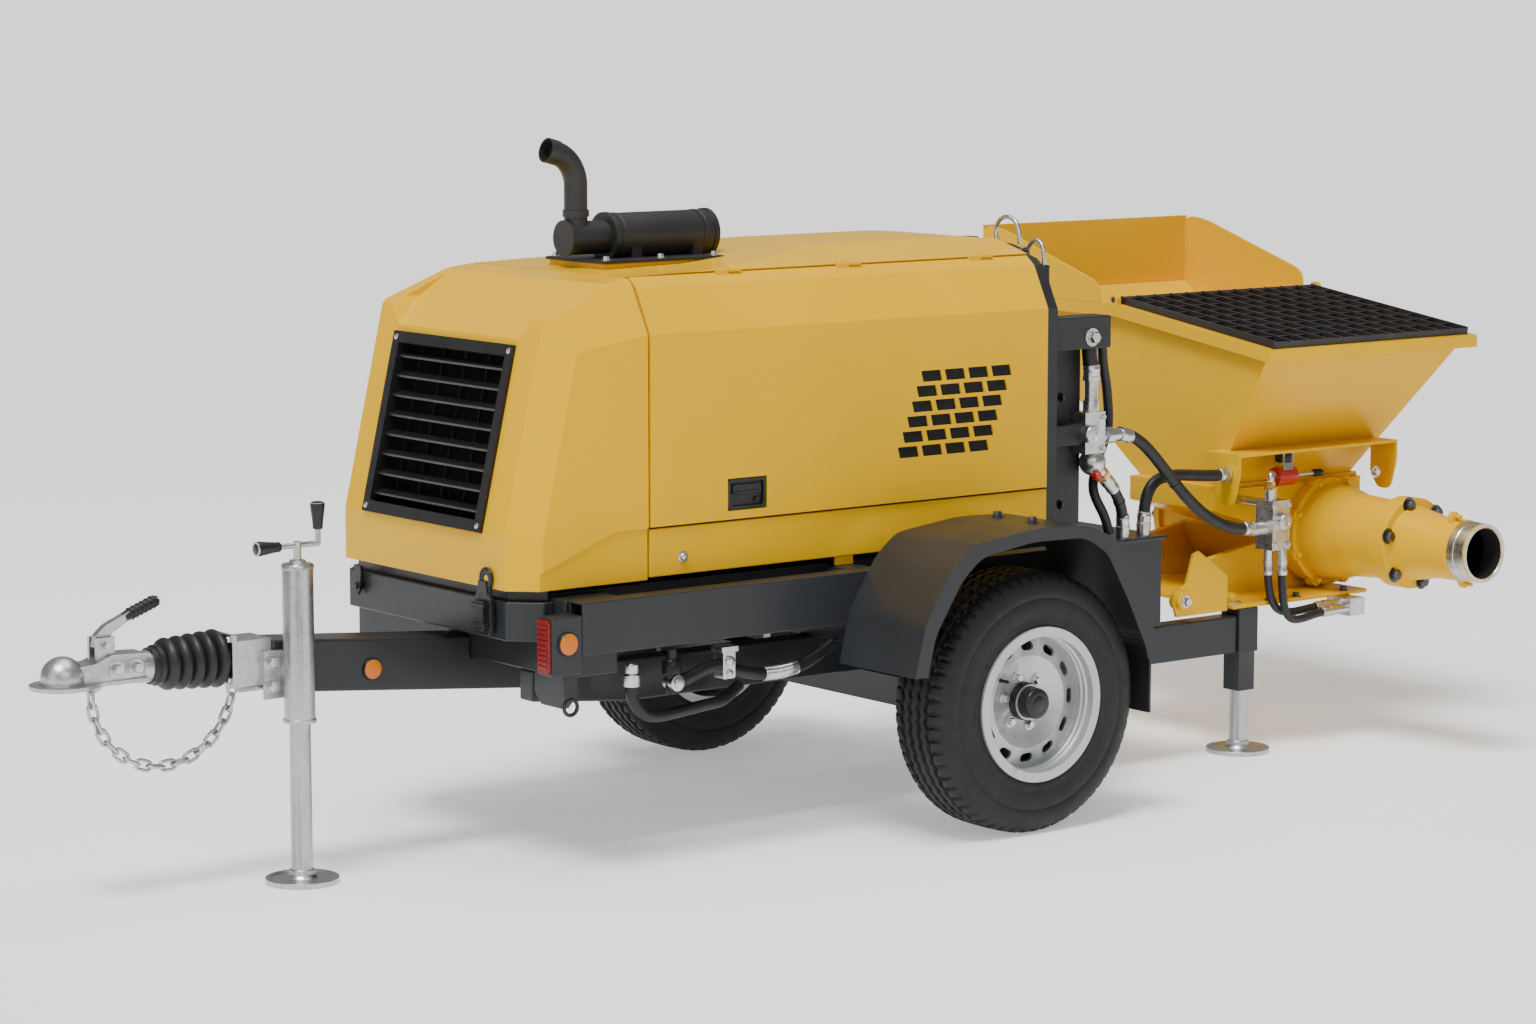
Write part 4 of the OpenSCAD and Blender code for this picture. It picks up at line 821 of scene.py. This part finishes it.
LATCH_PLATE = [
    (-16, 88), (18, 88), (24, 56), (40, 42), (42, -28), (30, -50), (-30, -50), (-38, -28),
    (-36, 42), (-22, 56),
]
LATCH_PIN = [(0, 0), (10.5, 0), (10.5, 6), (9, 8), (0, 9)]
bm = bmesh.new()
latch = basis(at(1399, 293, 660), Y, Z)
add_prism(bm, LATCH_PLATE, 12, latch)
add_prism(bm, rounded(22, 38, 8), 24, latch)
for y in (-24, 26):
    add_prism(bm, rounded(31, 6, 5), 28, shifted(latch, 0, y))
ring = on_circle(at(1404, 305, 754), 23, evenly(36), Y, Z)
add_tube(bm, ring, 5.5, sides=12, closed=True)
place("latch_body", bm, "black_plastic", "chassis", bevel=2)
turned("latch_pin", "yellow_paint", "chassis", [(at(1397, 305, 754), X, LATCH_PIN)], steps=28)

bm = bmesh.new()
cap = basis(at(-425, 0, 1500), X, Y)
add_prism(bm, rounded(52, 34, 10), 22, cap)
add_prism(bm, rounded(40, 24, 9), 27, cap)
place("roof_cap", bm, "black_plastic", "chassis", bevel=3)

# ---------------------------------------------------------------- mudguards

bolts("guard_bolts", "dark_steel", "chassis", [
    (at(-30, s * y, 824), Z, 22) for s in BOTH for y in (608, 748)
])
bolts("flap_bolts", "dark_steel", "chassis", [
    (at(-392, s * y, 462), REAR, 15) for s in BOTH for y in (650, 718, 790)
])

# ---------------------------------------------------------------- pump

PUMP_X, PUMP_Z = -1665, 610
MOUTH_Y = 860
LEG_X, LEG_Y = -1200, 300
SADDLE_Z = 442
GUSSET_Y = 325


def pump_spot(y):
    """Point on the pump's axis."""
    return at(PUMP_X, y, PUMP_Z)


def pump_bolts(name, look, y, axis, r, angles, across):
    """Ring of bolts around the pump's axis."""
    spots = on_circle(pump_spot(y), r, angles)
    bolts(name, look, "chassis", [(spot, axis, across) for spot in spots])


pump_bolts("outlet_bolts", "dark_steel", 590, Y, 120, evenly(6, 15), 27)
pump_bolts("cone_bolts", "yellow_paint", 254, Y, 156, evenly(8, 22.5), 17)

EAR = [(-19, -12), (19, -12), (15, 12), (9, 20), (0, 23), (-9, 20), (-15, 12)]
EAR_PIN = [(0, -22), (6, -22), (6, 4), (4, 6), (0, 6)]
bm = bmesh.new()
for turn in (76, 256):
    a = math.radians(turn)
    out = Vector((math.cos(a), 0, math.sin(a)))
    add_prism(bm, EAR, -18, basis(pump_spot(770) + 94 / MM * out, out.cross(Vector(Y)), out))
    add_lathe(bm, pump_spot(788) + 104 / MM * out, Y, EAR_PIN, steps=16)
place("mouth_ears", bm, "yellow_paint", "chassis", bevel=2)

GUSSET = [
    (-160, 426), (42, 426), (56, 470), (50, 492), (28, 504), (4, 520), (-22, 604), (-44, 612),
    (-160, 530),
]
GUSSET_EYE = [(0, -20), (27, -20), (27, 20), (24, 24), (0, 24)]
bm = bmesh.new()
for s in BOTH:
    add_prism(bm, GUSSET, 12, basis(at(-1000, s * GUSSET_Y + 6, 0), X, Z))
    add_lathe(bm, at(-975, s * GUSSET_Y, 473), (0, s, 0), GUSSET_EYE, steps=32)
place("saddle_gussets", bm, "yellow_paint", "chassis", bevel=3)
bolts("gusset_bolts", "plated_steel", "chassis", [
    (at(-975, s * (GUSSET_Y + 24), 473), (0, s, 0), 22) for s in BOTH
])

COLLAR = [
    (73.2, -238), (86.6, -66), (87.4, -66), (87.4, -44), (86.2, -42), (86.2, -8), (85, 0.6),
    (76, 0.8), (73.4, -3),
]
BORE = [(72.9, -238), (73.1, -238), (73.1, -6), (72.9, -6)]
bm = bmesh.new()
add_lathe(bm, pump_spot(MOUTH_Y), Y, COLLAR, steps=72, closed=True)
place("outlet_collar", bm, "plated_steel", "chassis", smooth=28.0)
# the bore is a thin near-black sleeve inside the collar: painted shade inside the pipe
bm = bmesh.new()
add_lathe(bm, pump_spot(MOUTH_Y), Y, BORE, steps=64, closed=True)
place("outlet_bore", bm, "dark_inside", "chassis")

LEG_WASHER = [(0, 0), (32, 0), (32, 5), (30, 6), (20, 6), (0, 6)]
LEG_NUT = [(0, 0), (21, 0), (21, 9), (19, 16), (13, 22), (6, 25), (0, 26)]
for name, look, z, profile in (
    ("leg_washer", "galvanised", SADDLE_Z, LEG_WASHER),
    ("leg_nuts", "yellow_paint", SADDLE_Z + 6, LEG_NUT),
):
    turned(name, look, "chassis", [(at(LEG_X, s * LEG_Y, z), Z, profile) for s in BOTH], steps=40)
bolts("saddle_bolts", "dark_steel", "chassis", [
    (at(x, s * 330, SADDLE_Z), Z, 18) for x in (-1330, -1440, -1640) for s in BOTH
])

END_COVER_Y = -354
END_COVER = [
    (0, 0), (112, 0), (112, 7), (108, 10), (66, 14), (62, 24), (30, 27), (28, 22), (0, 22)
]
FILLER_CAP = [
    (0, 0), (52, 0), (52, 6), (44, 8), (44, 20), (48, 22), (48, 40), (44, 45), (20, 47), (0, 46)
]
turned("end_cover", "yellow_paint", "chassis", [
    (pump_spot(END_COVER_Y), RIGHT, END_COVER)
], steps=64)
pump_bolts("end_bolts", "dark_steel", END_COVER_Y, RIGHT, 142, evenly(8), 22)
turned("filler_cap", "black_plastic", "chassis", [(at(-800, -200, 675), Z, FILLER_CAP)], steps=40)

BULKHEAD_BOLTS = [
    (-385, 800), (-385, 980), (-385, 1160), (-340, 1340), (-150, 1400), (60, 1400), (385, 800),
    (385, 1100),
]
# the ribs share the bulkhead's black, which is painted shade
bm = bmesh.new()
for z in (900, 1060, 1220):
    add_prism(bm, rounded(230, 15, 14), 9, basis(at(-449, -90, z), RIGHT, Z))
place("bulkhead_ribs", bm, "black_paint", "chassis", bevel=4)
bolts("bulkhead_bolts", "dark_steel", "chassis", [
    (at(-451, y, z), REAR, 15) for y, z in BULKHEAD_BOLTS
])

# ---------------------------------------------------------------- valves and hoses

SLANT = Vector((-0.7071, 0, -0.7071))
low_end = Vector((-596, 360, 906)) + 80 * SLANT
BOX_HOSE = 21  # radius of the hose whose upper end is hidden in the box
TIED_HOSE = 14  # hoses thicker than this have a tie
# each hose: its start, two handles, its end, and its radius
HOSES = [
    ([(-580, 360, 1230), (-580, 360, 1190), (-590, 360, 1180), (-590, 360, 1140)], BOX_HOSE),
    ([(-700, 360, 978), (-850, 360, 978), (-945, 365, 665), (-1225, 365, 665)], 17),
    ([low_end, low_end + 60 * SLANT, (-752, 320, 765), (-752, 320, 701)], 16),
    ([(-832, 320, 701), (-832, 320, 901), (-970, 296, 820), (-1190, 296, 820)], 17),
    ([(-1290, 362, 565), (-1290, 362, 355), (-1380, 362, 412), (-1530, 362, 412)], 12),
    ([(-1320, 390, 565), (-1320, 390, 315), (-1380, 390, 400), (-1530, 390, 400)], 12),
]
BACK_HOSE_R = 14
BACK_HOSE = [
    (-622, 330, 1262), (-662, 318, 1246), (-684, 305, 1170), (-704, 300, 1090), (-708, 300, 990),
    (-670, 302, 900), (-650, 306, 820), (-688, 312, 740), (-706, 314, 690),
]
# radii over the hose's own, and heights
FERRULE = [
    (1, -3), (4.5, -3), (4.5, 9), (3, 10), (3, 26), (4, 28), (4, 31), (3, 33), (3, 40), (0.5, 42)
]
TIE = [(-0.5, -3), (1.6, -3), (1.6, 3), (-0.5, 3)]
tubes, ferrules, ties = bmesh.new(), bmesh.new(), bmesh.new()
for corners, r in HOSES:
    line = bezier(corners)
    add_tube(tubes, line, r, sides=20)
    ends = [(line[0], line[3]), (line[-1], line[-4])]
    for end, inner in ends[1:] if r == BOX_HOSE else ends:
        add_lathe(ferrules, end, inner - end, [(r + d, h) for d, h in FERRULE], steps=28)
    if r > TIED_HOSE:
        middle, beyond = line[len(line) // 2], line[len(line) // 2 + 1]
        add_lathe(ties, middle, beyond - middle, [(r + d, h) for d, h in TIE], steps=24)
add_tube(tubes, curve_points(BACK_HOSE, 8), BACK_HOSE_R, sides=18)
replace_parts(place("hose_lines", tubes, "soft_rubber", "chassis"), "hoses")
place("hose_ferrules", ferrules, "plated_steel", "chassis", smooth=28.0)
place("hose_ties", ties, "black_plastic", "chassis")

turned("valve_caps", "plated_steel", "chassis", [
    (at(-554, 406, 990), Y, [(0, 0), (26.5, 0), (26.5, 3), (24, 6), (12, 7), (10, 4.5), (0, 4.5)]),
    (at(-1305, 417, 685), Y, [(0, 0), (24.5, 0), (24.5, 3), (22, 6), (11, 7), (9, 4.5), (0, 4.5)]),
], steps=40)
valve_bolts = [(at(-554, 400, 1262), Y, 30)]
valve_bolts += [(at(-608, 388, z), Y, 13) for z in (1036, 948)]
valve_bolts += [(at(x, 400, z), Y, 13) for z in (730, 615) for x in (-1332, -1278)]
valve_bolts.append((at(-1754, 340, 790), Y, 20))
bolts("valve_bolts", "plated_steel", "chassis", valve_bolts)
turned("brass_fittings", "brass", "chassis", [
    (at(*(low_end - 34 * SLANT)), SLANT, [(0, 0), (23, 0), (24, 3), (24, 18), (22, 21), (0, 21)]),
    (at(-1293, 365, 775), Z, [(0, 0), (20, 0), (20, 8), (14, 10), (14, 24), (10, 27), (0, 27)]),
], steps=6)
turned("red_valve", "red_paint", "chassis", [
    (at(-1464, 280, 796), X, [(0, -4), (27.5, -4), (28.5, 0), (28.5, 68), (27.5, 72), (0, 72)]),
    (at(-587, 388, 872), Y, [(0, -6), (13, -6), (13, 8), (10, 12), (0, 12)]),
], steps=40)
turned("valve_knob", "black_plastic", "chassis", [
    (at(-1430, 280, 838), Z, [(0, 0), (24, 0), (26, 4), (26, 26), (23, 31), (0, 31)]),
    (at(-1590, 280, 796), X, [(0, 0), (9, 0), (11, 4), (11, 34), (8, 40), (0, 40)]),
], steps=32)

ELBOW = [
    (-1293, 365, 796), (-1293, 365, 812), (-1302, 357, 818), (-1340, 325, 812), (-1380, 290, 799),
    (-1400, 282, 796),
]
POST_STUD = [(0, -1), (9, -1), (9, 3), (6, 5), (0, 5)]
bm = bmesh.new()
add_tube(bm, curve_points(ELBOW, 6), 10, sides=16)
place("valve_elbow", bm, "plated_steel", "chassis")
bm = bmesh.new()
add_box(bm, at(-575, 322, 715), at(-449, 330, 1229))
add_box(bm, at(-575, 288, 715), at(-567, 323, 1229))
for z in (760, 900, 1080, 1190):
    add_lathe(bm, at(-470, 330, z), Y, POST_STUD, steps=20)
place("valve_post", bm, "black_paint", "chassis", bevel=2)

# ---------------------------------------------------------------- under the left beam

# each line: its route and its radius
BRAKE_LINES = [
    ([(1062, 452, 470), (1060, 452, 430), (1030, 452, 392), (985, 452, 376), (900, 448, 380),
      (833, 446, 386), (760, 436, 392), (690, 415, 420)], 15.5),
    ([(915, 452, 458), (880, 452, 466), (830, 452, 482), (785, 452, 488)], 16.5),
    ([(745, 452, 472), (690, 452, 458), (637, 452, 450), (570, 452, 451), (514, 452, 460),
      (460, 450, 480), (405, 446, 506)], 16.5),
]
WRAP = [(640, 452, 450.5), (605, 452, 449.5), (570, 452, 451), (530, 452, 456.5)]
WRAP_R, WRAP_RIB = 18.6, 1.2
LINE_NUT = [
    (0, 0), (20, 0), (22, 4), (22, 30), (17, 34), (19, 38), (19, 56), (15, 60), (0, 60)
]
LINE_CUP = [(0, 0), (22, 0), (26, 5), (26, 34), (22, 40), (14, 44), (14, 66), (0, 66)]
turned("line_fittings", "plated_steel", "chassis", [
    (at(1062, 452, 462), Z, LINE_NUT),
    (at(928, 470, 458), Y, [(0, -40), (21, -40), (21, 0), (15, 2), (15, 9), (12, 11), (0, 11)]),
    (at(764, 470, 500), Y, [(0, 0), (13, 0), (13, 8), (9, 10), (0, 10)]),
    (at(764, 470, 468), Y, [(0, 0), (9, 0), (9, 6), (6, 8), (0, 8)]),
], steps=32)
bm = bmesh.new()
add_prism(bm, rounded(20, 40, 6), 42, basis(at(764, 472, 492), X, Z))
add_prism(bm, rounded(27, 8, 3), 50, basis(at(764, 476, 530), X, Z))
place("line_block", bm, "plated_steel", "chassis", bevel=2)
turned("line_valve", "black_plastic", "chassis", [
    (at(932, 448, 478), Z, LINE_CUP),
    (at(932, 448, 430), Z, [(0, 0), (13, 0), (17, 5), (17, 50), (0, 50)]),
], steps=32)
bm = bmesh.new()
for route, r in BRAKE_LINES:
    add_tube(bm, curve_points(route, 8), r, sides=16)
place("brake_line", bm, "soft_rubber", "chassis")
bm = bmesh.new()
wrap = curve_points(WRAP, 16)
add_tube(bm, wrap, [WRAP_R + WRAP_RIB * (k % 2) for k in range(len(wrap))], sides=20)
place("line_wrap", bm, "plated_steel", "chassis", smooth=50.0)

# ---------------------------------------------------------------- hooks behind the hood

HOOK_X, HOOK_R = -412, 6.2
NEAR_HOOK = [
    (356, 1452), (354, 1502), (345, 1523), (324, 1533), (302, 1523), (286, 1502), (276, 1496)
]
FAR_HOOK = [
    (194, 1500), (172, 1509), (152, 1546), (162, 1574), (182, 1588), (206, 1592), (236, 1580),
    (251, 1552), (254, 1518),
]
SLEEVE = [(284, 1500), (262, 1496), (230, 1503), (204, 1507), (184, 1504)]
SLEEVE_R, SLEEVE_RIB = 11.5, 1.5
SOCKET = [(0, 0), (10, 0), (16, 3), (16, 8), (14.5, 10), (12, 48), (9, 66), (0, 66)]


def hook_line(path):
    """Smooth line through (y, z) points in the plane of the hooks."""
    return curve_points([(HOOK_X, y, z) for y, z in path], 6)


bm = bmesh.new()
for path in (NEAR_HOOK, FAR_HOOK):
    add_tube(bm, hook_line(path), HOOK_R, sides=14)
place("hook_rods", bm, "plated_steel", "chassis")
bm = bmesh.new()
add_lathe(bm, at(HOOK_X, 356, 1466), (0, 0.13, -0.99), SOCKET, steps=28)
sleeve = hook_line(SLEEVE)
add_tube(bm, sleeve, [SLEEVE_R + SLEEVE_RIB * (k % 2) for k in range(len(sleeve))], sides=16)
place("hook_sleeves", bm, "black_plastic", "chassis", smooth=25.0)

# ---------------------------------------------------------------- floor, light, camera

# lengths are metres from here on
FLOOR_HALF, FLOOR_CELLS, FLOOR_Z = 900.0, 40, -0.0005
FLOOR_GLOW = 0.42
SKY_STRENGTH = 0.30
PHOTO_WIDTH, FOCAL = 1536, 3963.46  # pixels
SENSOR = 36.0  # millimetres
CAMERA_AT = (6.658, 8.527, 2.231)
CAMERA_YAW, CAMERA_PITCH = 37.703, 7.574

bm = bmesh.new()
bmesh.ops.create_grid(bm, x_segments=FLOOR_CELLS, y_segments=FLOOR_CELLS, size=FLOOR_HALF)
mesh = bpy.data.meshes.new("floor")
bm.to_mesh(mesh)
bm.free()
floor = add_object("floor", mesh)
floor.location = (0, 0, FLOOR_Z)
pale = Shader("pale floor", specular=0.1)
pale.colour(pale.noise(scale=0.8, detail=3.0), (0.86, 0.86, 0.86), (0.88, 0.88, 0.88))
pale.rough(pale.noise(scale=2.0, detail=3.0), low=0.75, high=0.85)
pale.bsdf.inputs["Emission Color"].default_value = (*WHITE, 1.0)
pale.bsdf.inputs["Emission Strength"].default_value = FLOOR_GLOW
mesh.materials.append(pale.mat)

world = bpy.data.worlds.new("studio")
bpy.context.scene.world = world
world.use_nodes = True
background = world.node_tree.nodes["Background"]
background.inputs["Color"].default_value = (*WHITE, 1.0)
background.inputs["Strength"].default_value = SKY_STRENGTH


def aim(obj, direction):
    """Turns a light or a camera to look along a direction."""
    obj.rotation_euler = Vector(direction).to_track_quat("-Z", "Y").to_euler()


def sun(name, direction, strength, spread):
    """Light from far away; spread softens its shadows."""
    light = bpy.data.lights.new(name, "SUN")
    light.energy = strength
    light.angle = math.radians(spread)
    aim(add_object(name, light), direction)


def softbox(name, origin, target, size, power):
    """Large lamp at the origin that shines on the target."""
    light = bpy.data.lights.new(name, "AREA")
    light.shape = "RECTANGLE"
    light.size, light.size_y = size
    light.energy = power
    obj = add_object(name, light)
    obj.location = origin
    aim(obj, Vector(target) - Vector(origin))


sun("key", direction=(-0.42, -0.22, -1.0), strength=3.0, spread=20)
sun("front", direction=(-1.0, -0.20, -0.35), strength=0.40, spread=40)
softbox("side box", (3.0, 7.0, 4.5), target=(0.0, 0.4, 0.8), size=(5.0, 2.0), power=120)
softbox("top box", (0.5, 0.0, 6.0), target=(0.0, 0.0, 0.0), size=(5.0, 3.0), power=160)

camera_data = bpy.data.cameras.new("camera")
camera_data.sensor_width = SENSOR
camera_data.sensor_fit = "HORIZONTAL"
camera_data.lens = FOCAL / PHOTO_WIDTH * SENSOR
camera = add_object("camera", camera_data)
camera.location = CAMERA_AT
yaw, pitch = math.radians(CAMERA_YAW), math.radians(CAMERA_PITCH)
level = math.cos(pitch)
aim(camera, (-math.sin(yaw) * level, -math.cos(yaw) * level, -math.sin(pitch)))
bpy.context.scene.camera = camera
